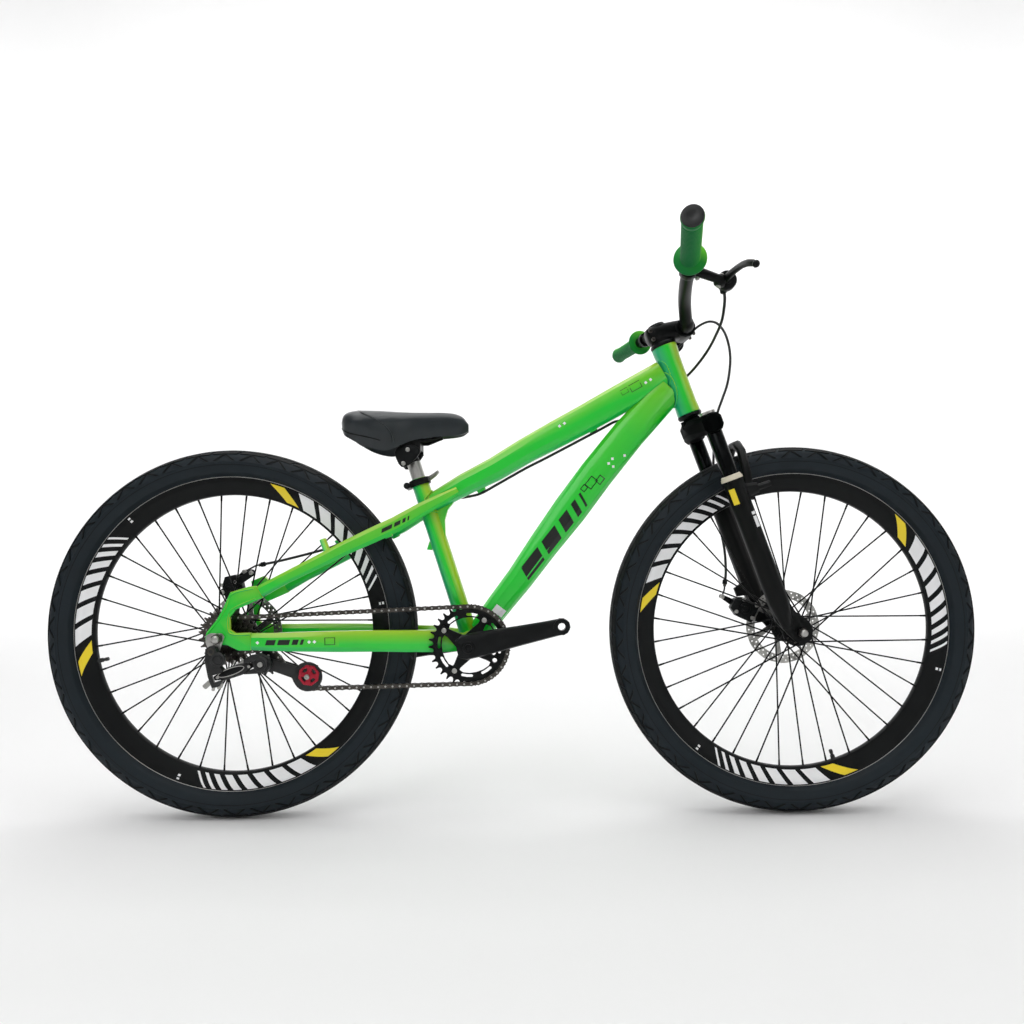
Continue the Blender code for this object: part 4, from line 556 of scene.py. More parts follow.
def blank(name, **values):
    """A material with a shader whose sockets have the given values."""
    made = bpy.data.materials.new(name)
    made.use_nodes = True
    tree = made.node_tree
    shader = tree.nodes["Principled BSDF"]
    for key, value in values.items():
        shader.inputs[key.replace("_", " ")].default_value = value
    return made, tree, shader


def colour(key):
    return (*getattr(bpy.context.scene.bike_colours, key), 1.0)


def tinted(base, share, lift=0.0):
    """A darker or lighter version of a colour."""
    return (*[min(1, c * share + lift) for c in base[:3]], 1)


def surface(name, key, grain_mm, depth_mm, mottle=0.15, rough=(0.3, 0.45), **values):
    """A finish with fine grain, a slight drift of colour, and uneven gloss."""
    made, tree, shader = blank(name, **values)
    darker, lighter = tinted(colour(key), 1 - mottle), tinted(colour(key), 1 + mottle, 0.002)
    where = node(tree, "ShaderNodeTexCoord").outputs["Object"]
    drift = node(tree, "ShaderNodeTexNoise", {"Vector": where}, {"Scale": 28.0, "Detail": 4.0})
    mix = node(
        tree, "ShaderNodeMix", {"Factor": drift.outputs["Fac"]}, {6: darker, 7: lighter}, data_type="RGBA",
    )
    tree.links.new(mix.outputs[2], shader.inputs["Base Color"])
    gloss = node(
        tree, "ShaderNodeMapRange", {"Value": drift.outputs["Fac"]}, {"To Min": rough[0], "To Max": rough[1]}
    )
    tree.links.new(gloss.outputs["Result"], shader.inputs["Roughness"])
    grain = node(
        tree, "ShaderNodeTexNoise", {"Vector": where}, {"Scale": 1000.0 / grain_mm, "Detail": 2.0}
    )
    bump = node(
        tree, "ShaderNodeBump", {"Height": grain.outputs["Fac"]},
        {"Strength": 0.6, "Distance": depth_mm / 1000},
    )
    tree.links.new(bump.outputs["Normal"], shader.inputs["Normal"])
    return made


def paint_light_by_facing(tree, shader, middle, upper, lower):
    """Paints light into a surface's colour by the way that it faces: painted highlight where it faces up and
    ahead, painted shade where it faces down. Returns the object coordinates.
    """
    spots = node(tree, "ShaderNodeTexCoord")
    facing_up = node(
        tree, "ShaderNodeVectorMath", {0: spots.outputs["Normal"]}, {1: PAINTED_LIGHT_DIRECTION},
        operation="DOT_PRODUCT",
    ).outputs["Value"]
    high = node(tree, "ShaderNodeMapRange", {"Value": facing_up}, {"From Min": 0.0, "From Max": 0.44})
    low = node(tree, "ShaderNodeMapRange", {"Value": facing_up}, {"From Min": -0.12, "From Max": -0.75})
    first = node(
        tree, "ShaderNodeMix", {"Factor": high.outputs["Result"]}, {6: colour(middle), 7: colour(upper)},
        data_type="RGBA",
    )
    second = node(
        tree, "ShaderNodeMix", {"Factor": low.outputs["Result"], 6: first.outputs[2]}, {7: colour(lower)},
        data_type="RGBA",
    )
    tree.links.new(second.outputs[2], shader.inputs["Base Color"])
    return spots.outputs["Object"]


def soft_rubber():
    """Soft moulded grip rubber: duller than paint, slightly grainy, with painted highlight where it faces up
    and ahead and painted shade where it faces down.
    """
    made, tree, shader = blank("soft_grip_rubber_painted_light", Roughness=0.55, Specular_IOR_Level=0.25)
    where = paint_light_by_facing(tree, shader, "grip_green", "grip_painted_highlight", "grip_painted_shade")
    grain = node(tree, "ShaderNodeTexNoise", {"Vector": where}, {"Scale": 1400.0, "Detail": 2.0})
    gloss = node(
        tree, "ShaderNodeMapRange", {"Value": grain.outputs["Fac"]}, {"To Min": 0.42, "To Max": 0.62},
    )
    tree.links.new(gloss.outputs["Result"], shader.inputs["Roughness"])
    bump = node(
        tree, "ShaderNodeBump", {"Height": grain.outputs["Fac"]}, {"Strength": 0.6, "Distance": 0.00012},
    )
    tree.links.new(bump.outputs["Normal"], shader.inputs["Normal"])
    return made


def green_paint():
    """Sprayed lacquer over aluminium: a clear coat, orange peel, and painted highlight and painted shade that
    follow the way the surface faces.
    """
    made, tree, shader = blank("sprayed_green_lacquer_painted_light", Coat_Weight=0.5, Coat_Roughness=0.06, Metallic=0.0)
    where = paint_light_by_facing(tree, shader, "frame_green", "frame_painted_highlight", "frame_painted_shade")
    drift = node(tree, "ShaderNodeTexNoise", {"Vector": where}, {"Scale": 18.0, "Detail": 5.0})
    gloss = node(
        tree, "ShaderNodeMapRange", {"Value": drift.outputs["Fac"]}, {"To Min": 0.26, "To Max": 0.42}
    )
    tree.links.new(gloss.outputs["Result"], shader.inputs["Roughness"])
    # Orange peel is about 2 mm across
    peel = node(tree, "ShaderNodeTexNoise", {"Vector": where}, {"Scale": 500.0, "Detail": 1.0})
    bump = node(
        tree, "ShaderNodeBump", {"Height": peel.outputs["Fac"]}, {"Strength": 0.25, "Distance": 0.00008}
    )
    tree.links.new(bump.outputs["Normal"], shader.inputs["Normal"])
    return made


def leatherette():
    """Embossed PVC leather: soft sheen, with creased cells about 1.2 mm across, coarse enough to show."""
    made, tree, shader = blank("embossed_leatherette", Sheen_Weight=0.05, Specular_IOR_Level=0.5)
    where = node(tree, "ShaderNodeTexCoord").outputs["Object"]
    cells = node(
        tree, "ShaderNodeTexVoronoi", {"Vector": where}, {"Scale": 800.0}, feature="DISTANCE_TO_EDGE",
    )
    folds = node(tree, "ShaderNodeTexNoise", {"Vector": where}, {"Scale": 60.0, "Detail": 6.0})
    base = colour("saddle")
    tint = node(
        tree, "ShaderNodeMix", {"Factor": folds.outputs["Fac"]},
        {6: tinted(base, 0.75), 7: tinted(base, 1.35)}, data_type="RGBA",
    )
    tree.links.new(tint.outputs[2], shader.inputs["Base Color"])
    gloss = node(
        tree, "ShaderNodeMapRange", {"Value": folds.outputs["Fac"]}, {"To Min": 0.25, "To Max": 0.38}
    )
    tree.links.new(gloss.outputs["Result"], shader.inputs["Roughness"])
    first = node(
        tree, "ShaderNodeBump", {"Height": folds.outputs["Fac"]}, {"Strength": 0.2, "Distance": 0.0006}
    )
    second = node(
        tree, "ShaderNodeBump", {"Height": cells.outputs["Distance"], "Normal": first.outputs["Normal"]},
        {"Strength": 0.2, "Distance": 0.0003},
    )
    tree.links.new(second.outputs["Normal"], shader.inputs["Normal"])
    return made


def turned_steel():
    """Brushed stainless steel: fine lines run round the disc or tube, with brighter and duller bands."""
    made, tree, shader = blank("brushed_steel", Metallic=1.0)
    where = node(tree, "ShaderNodeTexCoord").outputs["Object"]
    stretched = node(tree, "ShaderNodeMapping", {"Vector": where}, {"Scale": (300.0, 2500.0, 2500.0)})
    lines = node(
        tree, "ShaderNodeTexNoise", {"Vector": stretched.outputs["Vector"]}, {"Scale": 1.0, "Detail": 3.0},
    )
    base = colour("steel")
    tint = node(
        tree, "ShaderNodeMix", {"Factor": lines.outputs["Fac"]},
        {6: tinted(base, 0.72), 7: tinted(base, 1.1)}, data_type="RGBA",
    )
    tree.links.new(tint.outputs[2], shader.inputs["Base Color"])
    gloss = node(
        tree, "ShaderNodeMapRange", {"Value": lines.outputs["Fac"]}, {"To Min": 0.2, "To Max": 0.38}
    )
    tree.links.new(gloss.outputs["Result"], shader.inputs["Roughness"])
    bump = node(
        tree, "ShaderNodeBump", {"Height": lines.outputs["Fac"]}, {"Strength": 0.15, "Distance": 0.00005}
    )
    tree.links.new(bump.outputs["Normal"], shader.inputs["Normal"])
    return made


FINISH_MAKERS = {
    "green_paint": green_paint,
    "leatherette": leatherette,
    "brushed_steel": turned_steel,
    # Moulded tyre rubber: dull, with a fine grain and a dusty drift
    "tyre": lambda: surface(
        "moulded_tyre_rubber", "tyre_black", 0.8, 0.1, 0.3, (0.5, 0.68), Specular_IOR_Level=0.3
    ),
    # The tread's rubber: real blocks in a colour blacker than the casing, painted shade that makes them show
    # as dark grooves, and as dull
    "tread": lambda: surface(
        "moulded_tread_rubber_painted_groove_shade", "tread_black_painted_groove_shade", 1.6, 0.1, 0.3, (0.55, 0.7), Specular_IOR_Level=0.2,
    ),
    "grip": soft_rubber,
    # Gloss enamel on magnesium and alloy castings: deep black with clear highlights
    "black_gloss": lambda: surface(
        "black_enamel", "black_gloss", 1.8, 0.02, 0.2, (0.32, 0.44), Coat_Weight=0.04, Coat_Roughness=0.1,
        Specular_IOR_Level=0.13
    ),
    # The crown's paint lies on a shot-blasted casting, so it shines less
    "black_casting": lambda: surface(
        "black_paint_on_casting", "black_gloss", 1.2, 0.02, 0.25, (0.5, 0.6), Specular_IOR_Level=0.05, IOR=1.2
    ),
    # Anodised aluminium: satin, with a metal's reflection under a dark skin
    "black_satin": lambda: surface(
        "black_anodised_aluminium", "black_satin", 0.5, 0.02, 0.25, (0.36, 0.48), Metallic=0.25,
        Specular_IOR_Level=0.22
    ),
    # Oiled steel of chain and cogs: dark and uneven, with small bright glints
    "dark_steel": lambda: surface("oiled_steel", "dark_steel", 0.6, 0.03, 0.35, (0.26, 0.42), Metallic=1.0),
    # Moulded nylon: a warm off-white with a soft, even gloss
    "cream": lambda: surface("moulded_nylon_cream", "cream", 0.9, 0.04, 0.08, (0.35, 0.45)),
    # Glass-filled nylon: black with a faint grain and a dull sheen
    "black_plastic": lambda: surface("glass_filled_nylon", "black_satin", 0.6, 0.06, 0.2, (0.38, 0.52)),
    # Red anodised aluminium: a metal's reflection in a deep red
    "red": lambda: surface("red_anodised_cap", "red", 0.6, 0.02, 0.15, (0.22, 0.34), Metallic=0.35),
    # Vinyl films: flat colour with a smooth, low gloss
    "white_film": lambda: surface("white_vinyl_film", "white", 1.2, 0.01, 0.03, (0.3, 0.4)),
    "yellow_film": lambda: surface("yellow_vinyl_film", "yellow", 1.2, 0.01, 0.05, (0.3, 0.4)),
    "black_film": lambda: surface("black_vinyl_film", "black_gloss", 1.2, 0.01, 0.2, (0.28, 0.4)),
    # Extruded PVC cable housing: smooth and slightly shiny
    "housing": lambda: surface("extruded_pvc_housing", "black_satin", 0.7, 0.02, 0.2, (0.32, 0.45)),
    # Hard-anodised tube: nearly black, with long, clear reflections
    "stanchion": lambda: surface(
        "hard_anodised_tube", "black_satin", 0.4, 0.01, 0.2, (0.12, 0.2), Metallic=0.85
    ),
}


made_finishes = {}


def finish(name):
    """The finish of that name, made the first time it is asked for."""
    if name not in made_finishes:
        made_finishes[name] = FINISH_MAKERS[name]()
    return made_finishes[name]


# Small parts and steps


class BikeStep:
    """What all the steps share."""

    bl_options = {"REGISTER", "UNDO"}


def socket_bolt(name, radius, height):
    """A cap screw up the Z axis from 0, with rounded edge and a hexagon socket."""
    hexagon = radius * 0.52
    profile = [
        (0, 0), (0, radius), (height * 0.75, radius), (height * 0.93, radius * 0.93), (height, radius * 0.8),
        (height, hexagon), (height * 0.35, hexagon), (height * 0.35, 0),
    ]
    return lathe(name, profile, steps=18, degrees=30)


def bolts(name, radius, height, spots, finish_name, body):
    """Cap screws at (place, axis), joined as one piece."""
    first = socket_bolt("bolt", radius, height)
    return settle(copies(name, first, [facing(Vector(p), Vector(a)) for p, a in spots]), finish_name, body)


def knurled(name, start, end, radius, ridges=14, finish_name="black_satin", body="frame"):
    """A finger nut with ridges along it."""
    start, end = Vector(start), Vector(end)
    length = (end - start).length
    place = facing(start.lerp(end, 0.5), end - start)
    outline = notched(radius, radius * 0.88, ridges)
    return settle(plate(name, [outline], length, place, length * 0.08), finish_name, body)


class BIKE_OT_stage(BikeStep, bpy.types.Operator):
    """Floor, lights and the camera that looks from the bike's right."""

    bl_idname = "bike.stage"
    bl_label = "Studio"

    def execute(self, context):
        bpy.ops.object.select_all(action="DESELECT")
        bpy.ops.mesh.primitive_plane_add(size=14, location=(0, 0, -0.0008))
        floor = context.object
        floor.name = "studio_floor"
        for edge in floor.data.edges:
            ends = [floor.data.vertices[i].co.y for i in edge.vertices]
            edge.select = min(ends) > 0
        context.tool_settings.mesh_select_mode = (False, True, False)
        bpy.ops.object.mode_set(mode="EDIT")
        bpy.ops.mesh.extrude_region_move(TRANSFORM_OT_translate={"value": (0, 0, 8)})
        bpy.ops.object.mode_set(mode="OBJECT")
        round_edges(floor, 2.2, 60, 12)
        shade(floor, 60)
        # Matt paint: the floor runs up into the wall without a line
        made, _, shader = blank("painted_cove", Roughness=0.9)
        shader.inputs["Base Color"].default_value = colour("floor")
        floor.data.materials.append(made)
        power = context.scene.bike_sizes.key_power
        self.light("key", (-1.5, -2.6, 2.6), (0.0, 0, 0.4), 1.8, power)
        self.light("fill", (2.6, -2.4, 1.5), (0.2, 0, 0.4), 1.6, power * 0.4)
        self.light("top", (0.0, -0.2, 3.2), (0, 0, 0.3), 3.0, power * 2.6)
        self.light("back", (0.0, 3.6, 5.2), (0, 7.0, 2.0), 2.4, power * 16, 12)
        world = bpy.data.worlds.new("studio")
        world.use_nodes = True
        world.node_tree.nodes["Background"].inputs["Color"].default_value = (1, 1, 1, 1)
        world.node_tree.nodes["Background"].inputs["Strength"].default_value = 0.2
        context.scene.view_settings.view_transform = "Standard"
        context.scene.world = world
        self.camera(context)
        return {"FINISHED"}

    def light(self, name, place, aim, size, power, width=None):
        bpy.ops.object.light_add(type="AREA", location=place)
        made = bpy.context.object
        made.name = name + "_light"
        made.data.shape = "RECTANGLE"
        made.data.size = width or size
        made.data.size_y = size
        made.data.energy = power
        made.rotation_euler = (Vector(aim) - Vector(place)).to_track_quat("-Z", "Y").to_euler()

    def camera(self, context):
        bpy.ops.object.camera_add(location=CAMERA_PLACE)
        camera = context.object
        level = math.cos(CAMERA_PITCH)
        ahead = Vector((math.sin(CAMERA_YAW) * level, math.cos(CAMERA_YAW) * level, math.sin(CAMERA_PITCH)))
        right = Vector((math.cos(CAMERA_YAW), -math.sin(CAMERA_YAW), 0))
        up = right.cross(ahead)
        across = right * math.cos(CAMERA_ROLL) - up * math.sin(CAMERA_ROLL)
        above = right * math.sin(CAMERA_ROLL) + up * math.cos(CAMERA_ROLL)
        turn = Matrix((across, above, -ahead)).transposed()
        camera.rotation_euler = turn.to_euler()
        camera.data.sensor_width = SENSOR
        camera.data.lens = FOCAL / PICTURE * SENSOR
        camera.data.shift_x = (PICTURE / 2 - CENTRE[0]) / PICTURE
        camera.data.shift_y = (CENTRE[1] - PICTURE / 2) / PICTURE
        context.scene.camera = camera


class BIKE_OT_cables(BikeStep, bpy.types.Operator):
    """Both brake cables: housing and end caps."""

    bl_idname = "bike.cables"
    bl_label = "Brake cables"

    def execute(self, context):
        self.housing("rear_brake_cable", REAR_CABLE, "steering", "frame", "frame", "steering", 9, 0)
        self.housing(
            "front_brake_cable", FRONT_CABLE, "steering", "fork_lowers", "steering", "fork_lowers", 11, 15,
        )
        return {"FINISHED"}

    def housing(self, node_name, route, at_lever, at_brake, before, after, first, last):
        """A tube along the route, with an end cap at the lever's end and one at the brake's, each riding on
        its body.
        """
        points = smooth_run(route, 4)
        ob = sweep(node_name + "_housing", points, 0.0025, 4)
        ob.data.materials.clear()
        ob.data.materials.append(finish("housing"))
        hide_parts(node_name)
        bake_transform(ob)
        for here, there, body in ((points[0], points[2], at_lever), (points[-1], points[-3], at_brake)):
            profile = [(-0.0004, 0), (-0.0004, 0.0024), (0.0, 0.0031), (0.0095, 0.0031), (0.0105, 0.0026)]
            cap = lathe("%s_ferrule_%s" % (node_name, body), profile, here, (there - here).normalized(), 16)
            settle(cap, "dark_steel", body)


class BIKE_OT_wheels(BikeStep, bpy.types.Operator):
    """Tyres with their tread, rims with their marks, laced spokes, hubs and brake discs."""

    bl_idname = "bike.wheels"
    bl_label = "Wheels"

    CASING = (
        (0.0152, 0.2866), (0.019, 0.2888), (0.0228, 0.2918), (0.0243, 0.2924), (0.0252, 0.2944),
        (0.0268, 0.2985), (0.0284, 0.304), (0.0289, 0.3085), (0.0288, 0.3122), (0.0293, 0.3132),
        (0.0286, 0.3146), (0.0276, 0.3185), (0.0258, 0.323), (0.0225, 0.3272), (0.017, 0.3309),
        (0.0095, 0.3338), (0.0, 0.3344),
    )

    def execute(self, context):
        for name, hub, flanges, disc, face, shell, yellow, valve in (
            ("rear", REAR_HUB, (0.03, -0.0215), 0.05, 0.0488, (0.067, -0.029), (68.7, 188.6, 306.4), 191),
            ("front", FRONT_HUB, (0.024, -0.034), 0.04, 0.0388, (0.0495, -0.0495), (41.8, 166.5, 287.9), 288),
        ):
            self.tyre(context, name, hub)
            self.rim(name, hub, valve)
            self.marks(name, hub, yellow)
            self.hub(context, name, hub, flanges, face, shell)
            self.disc(context, name, hub, disc)
        return {"FINISHED"}

    def on_casing(self, across):
        """A point and outward direction (sideways, radial) on the casing, so far round from the middle."""
        half = list(reversed(self.CASING))
        reach = abs(across)
        for a, b in zip(half, half[1:]):
            length = math.dist(a, b)
            share = reach / length
            if reach <= length:
                break
            reach -= length
        point = Vector((a[0] + (b[0] - a[0]) * share, a[1] + (b[1] - a[1]) * share))
        tangent = Vector((b[0] - a[0], b[1] - a[1])).normalized()
        outward = Vector((-tangent.y, tangent.x))
        sign = 1 if across >= 0 else -1
        return Vector((point.x * sign, point.y)), Vector((outward.x * sign, outward.y))

    def tyre(self, context, name, hub):
        sizes = context.scene.bike_sizes
        profile = list(self.CASING) + [(-y, r) for y, r in reversed(self.CASING[:-1])]
        casing = lathe(name + "_tyre_casing", profile, hub, LEFT, WHEEL_STEPS, closed=True, degrees=50)
        step = TURN / sizes.tread_rows
        # One row of tread, as corners (share of the row, millimetres from the middle) with the divisions
        blocks = (
            (((0.0, 0.5), (0.955, 0.5), (1.165, 7.2), (0.21, 6.2)), 4, 2),
            (((0.3, 7.6), (0.755, 8.8), (0.985, 15.6), (0.53, 14.9)), 3, 2),
            (((0.8, 8.8), (1.255, 7.6), (1.485, 14.9), (1.03, 15.6)), 3, 2),
            (((0.58, 17.2), (1.5, 17.2), (1.6, 24.2), (0.7, 24.8)), 4, 2),
            (((0.12, 26.4), (0.22, 26.4), (0.56, 38.6), (0.47, 38.6)), 2, 4),
            (((1.07, 26.4), (1.17, 26.4), (0.82, 38.6), (0.73, 38.6)), 2, 4),
        )
        points, faces = [], []
        for row in range(sizes.tread_rows):
            for sign in (1, -1):
                turned = row + (0.5 if sign < 0 else 0)
                for corners, along, across in blocks:
                    grid = (corners, along, across)
                    self.block(points, faces, hub, grid, turned, sign, step, sizes.tread_height)
        tread = shade(clean(new_mesh(name + "_tread", points, (), faces)), 40)
        settle(casing, "tyre", name + "_wheel", [name + "_tyre"])
        settle(tread, "tread", name + "_wheel")
        # A thin raised line of the darker tread rubber on each sidewall: painted shade standing for the dark
        # groove line there
        self.rings(name + "_tyre_dark_line_painted_groove_shade", hub, 0.3076, 0.0286, "tread", name + "_wheel")

    def rings(self, label, hub, radius, out, finish_name, body):
        """One thin ring on each side of a wheel."""
        made = []
        for side in (1, -1):
            profile = [(side * out + y, radius + r) for y, r in circle(0.0006, 8)]
            made.append(lathe("ring", profile, hub, LEFT, WHEEL_STEPS, closed=True, degrees=60))
        settle(join(label, made), finish_name, body)

    def block(self, points, faces, hub, grid, turned, sign, step, height):
        """One block of rubber that follows the casing: a grid on top and a skirt down into the casing."""
        corners, along, across = grid
        first = len(points)

        def place(i, j, lift):
            spot = in_patch(corners, i / along, j / across)
            flat, outward = self.on_casing(spot.y / 1000 * sign)
            flat = flat + outward * lift
            points.append(around(hub, flat.y, (turned + spot.x) * step, flat.x))

        for i in range(along + 1):
            for j in range(across + 1):
                place(i, j, height)
        faces += grid_faces(along, across, first)
        rim = [(i, 0) for i in range(along)] + [(along, j) for j in range(across)]
        rim += [(i, across) for i in range(along, 0, -1)] + [(0, j) for j in range(across, 0, -1)]
        low = len(points)
        for i, j in rim:
            place(i, j, -0.0005)
        for number, (i, j) in enumerate(rim):
            after = rim[(number + 1) % len(rim)]
            top, other = first + i * (across + 1) + j, first + after[0] * (across + 1) + after[1]
            faces.append((top, other, low + (number + 1) % len(rim), low + number))
        faces.append(tuple(range(low, low + len(rim))))

    def rim(self, name, hub, valve):
        half = (
            (0.0, 0.2538), (0.0034, 0.254), (0.0054, 0.2549), (0.0146, 0.2757), (0.015, 0.2775),
            (0.015, 0.2862), (0.0142, 0.2867),
        )
        profile = [(-y, r) for y, r in half[:0:-1]] + list(half)
        rim = lathe(name + "_rim_skin", profile, hub, LEFT, WHEEL_STEPS, closed=True, degrees=30)
        settle(rim, "black_satin", name + "_wheel", [name + "_rim"])
        # A thin bright steel ring round each side of the rim's lip: painted highlight standing for the light
        # that the rim's edge catches
        self.rings(name + "_rim_lip_painted_highlight", hub, 0.2864, 0.0153, "brushed_steel", name + "_wheel")
        turn = math.radians(valve)
        outward = around(Vector(), 1, turn)
        stem = [
            (0.0, 0), (0.0, 0.0028), (0.0008, 0.0034), (0.0062, 0.0034), (0.0066, 0.0028), (0.01, 0.0028),
            (0.0106, 0.004), (0.016, 0.0042), (0.0172, 0.0052), (0.0185, 0.0052), (0.0185, 0),
        ]
        made = lathe(name + "_valve", stem, hub + outward * 0.2362, outward, 16)
        settle(made, "black_plastic", name + "_wheel")

    def wall(self, radius):
        """How far the rim's side stands from the middle at a radius."""
        if radius < 0.2757:
            return 0.0054 + (radius - 0.2549) / (0.2757 - 0.2549) * (0.0146 - 0.0054)
        return min(0.015, 0.0146 + (radius - 0.2757) * 0.25)

    def patch(self, hub, side, corners, lift=0.00025):
        """A thin sheet on the rim's side; corners are (degrees, radius) round its outline."""
        along, up = max(2, int(abs(corners[1][0] - corners[0][0]) / 1.2) + 1), 5
        points = []
        for i in range(along + 1):
            for j in range(up + 1):
                spot = in_patch(corners, i / along, j / up)
                points.append(around(hub, spot.y, math.radians(spot.x), (self.wall(spot.y) + lift) * side))
        return new_mesh("patch", points, (), grid_faces(along, up, flipped=side < 0))

    def marks(self, name, hub, yellow):
        """Yellow marks on the rim's sides, each followed by white bars that grow narrower and by two dots."""
        low, high = 0.259, 0.2838
        middle = (low + high) / 2
        lean = 4.2
        # Degrees back from the yellow mark
        bars = (
            (8.6, 14.8), (17.0, 22.4), (24.6, 29.2), (31.4, 35.2), (37.4, 40.4), (42.6, 44.8), (47.0, 48.4),
            (50.6, 51.6),
        )
        dots, dot = 57.4, 0.0035
        white, bright = [], []
        for side in (1, -1):
            for start in yellow:
                foot, head = (start - 1.2, start - 6.4), (start + 1.2, start + 6.6)
                corners = [(foot[0], low), (foot[1], low), (head[0], high - 0.001), (head[1], high - 0.001)]
                bright.append(self.patch(hub, side, corners))
                for begin, end in bars:
                    a, b = start - begin, start - end
                    corners = [(a, low), (b, low), (b + lean, high), (a + lean, high)]
                    white.append(self.patch(hub, side, corners))
                for top in (middle + 0.0045, middle + 0.0105):
                    a, b = start - dots + 0.5, start - dots - 0.5
                    white.append(self.patch(hub, side, [(a, top), (b, top), (b, top - dot), (a, top - dot)]))
        for label, made in (("white", white), ("yellow", bright)):
            sheet = shell_of(join(name + "_rim_marks_" + label, made), 0.00018)
            settle(sheet, label + "_film", name + "_wheel")

    def hub(self, context, name, hub, flanges, face, shell):
        radius = context.scene.bike_sizes.spoke_radius
        left, right = flanges
        left_end, right_end = shell
        profile = [
            (right_end, 0.0058), (right_end, 0.0088), (right_end + 0.001, 0.01), (right - 0.0045, 0.0135),
            (right - 0.0025, 0.016), (right - 0.0022, 0.0258), (right - 0.001, 0.0274),
            (right + 0.0012, 0.0274), (right + 0.0022, 0.0258), (right + 0.0026, 0.017),
            (right + 0.007, 0.0138), (left - 0.007, 0.0138), (left - 0.0026, 0.017), (left - 0.0022, 0.0258),
            (left - 0.001, 0.0274), (left + 0.0012, 0.0274), (left + 0.0022, 0.0258), (left + 0.0026, 0.0205),
            (face - 0.0006, 0.02), (face, 0.0194), (face, 0.0096), (left_end - 0.001, 0.0095),
            (left_end, 0.0088), (left_end, 0.0058),
        ]
        core = lathe(name + "_hub_core", profile, hub, LEFT, 48, closed=True)
        settle(core, "black_satin", name + "_wheel", [name + "_hub"])
        # A spoke from 0 to 1, with its nipple at the rim's end
        spoke = [
            (0.0, 0), (0.0, radius), (0.955, radius), (0.957, 0.0017), (0.995, 0.0019), (1.0, 0.0019),
            (1.0, 0),
        ]
        places, heads = [], []
        for number, rim_angle in enumerate(angles(SPOKES, math.pi / SPOKES)):
            on_left, leading = number % 2 == 0, (number // 2) % 2 == 0
            side, lead = (1 if on_left else -1), (1 if leading else -1)
            flange = left if on_left else right
            swing = math.pi / 3 * lead
            start = around(hub, SPOKE_CIRCLE, rim_angle + swing, flange + side * lead * 0.003)
            end = around(hub, NIPPLE_CIRCLE, rim_angle, side * 0.0022 if leading else 0.0)
            places.append(between(start, end))
            heads.append(facing(start - LEFT * side * lead * 0.0062, LEFT * side * lead))
        laced = copies(name + "_spokes", lathe("spoke", spoke, steps=8), places)
        settle(laced, "black_gloss", name + "_wheel")
        head = [(0, 0), (0, 0.0018), (0.0008, 0.002), (0.0016, 0.0011), (0.0068, 0.0011), (0.0068, 0)]
        made = copies(name + "_spoke_heads", lathe("head", head, steps=8), heads)
        settle(made, "dark_steel", name + "_wheel")

    def disc(self, context, name, hub, plane):
        """A waved disc with six slanted windows and two rows of holes, on six bolts."""
        holes = context.scene.bike_sizes.rotor_holes
        wave, window, slant = 0.0004, math.pi / 3, math.radians(22)
        outer = [polar(0.0696 + wave * math.cos(angle * 12), angle) for angle in angles(WHEEL_STEPS)]
        loops = [outer, circle(0.0104, 32)]
        for base in angles(6):
            inner = [polar(0.0235, base + 0.22 + (window - 0.47) * t / 4) for t in range(5)]
            outward = [polar(0.054, base + slant + 0.09 + (window - 0.21) * t / 6) for t in range(7)]
            loops.append(inner + outward[::-1])
        for row, radius in ((0, 0.0585), (1, 0.065)):
            for angle in angles(holes, math.pi * row / holes):
                loops.append(circle(0.0017, 8, polar(radius, angle)))
        bolt_angles = angles(DISC_BOLTS, math.pi / DISC_BOLTS)
        loops += [circle(0.0026, 10, polar(DISC_BOLT_CIRCLE, angle)) for angle in bolt_angles]
        made = plate(name + "_disc", loops, 0.0018, upright(hub.x, plane, hub.z))
        settle(made, "brushed_steel", name + "_wheel", [name + "_rotor"])
        profile = [
            (0, 0), (0, 0.004), (0.0018, 0.0044), (0.0026, 0.0036), (0.0028, 0.0018), (0.0012, 0.0014),
            (0.0012, 0),
        ]
        places = [facing(around(hub, DISC_BOLT_CIRCLE, angle, plane + 0.0009), LEFT) for angle in bolt_angles]
        made = copies(name + "_disc_bolts", lathe("bolt", profile, steps=12), places)
        settle(made, "dark_steel", name + "_wheel")


# Chain drive


def pitch_radius(teeth):
    return CHAIN_PITCH / (2 * math.sin(math.pi / teeth))


class Toothed:
    """A toothed wheel in the chain's plane. turn is +1 where the chain goes round it clockwise."""

    def __init__(self, place, teeth, turn):
        self.centre = Vector((place.x, CHAIN_LINE, place.z))
        self.teeth, self.turn, self.radius = teeth, turn, pitch_radius(teeth)
        self.gap_angle = 0.0

    def spot(self, angle):
        return around(self.centre, self.radius, angle)


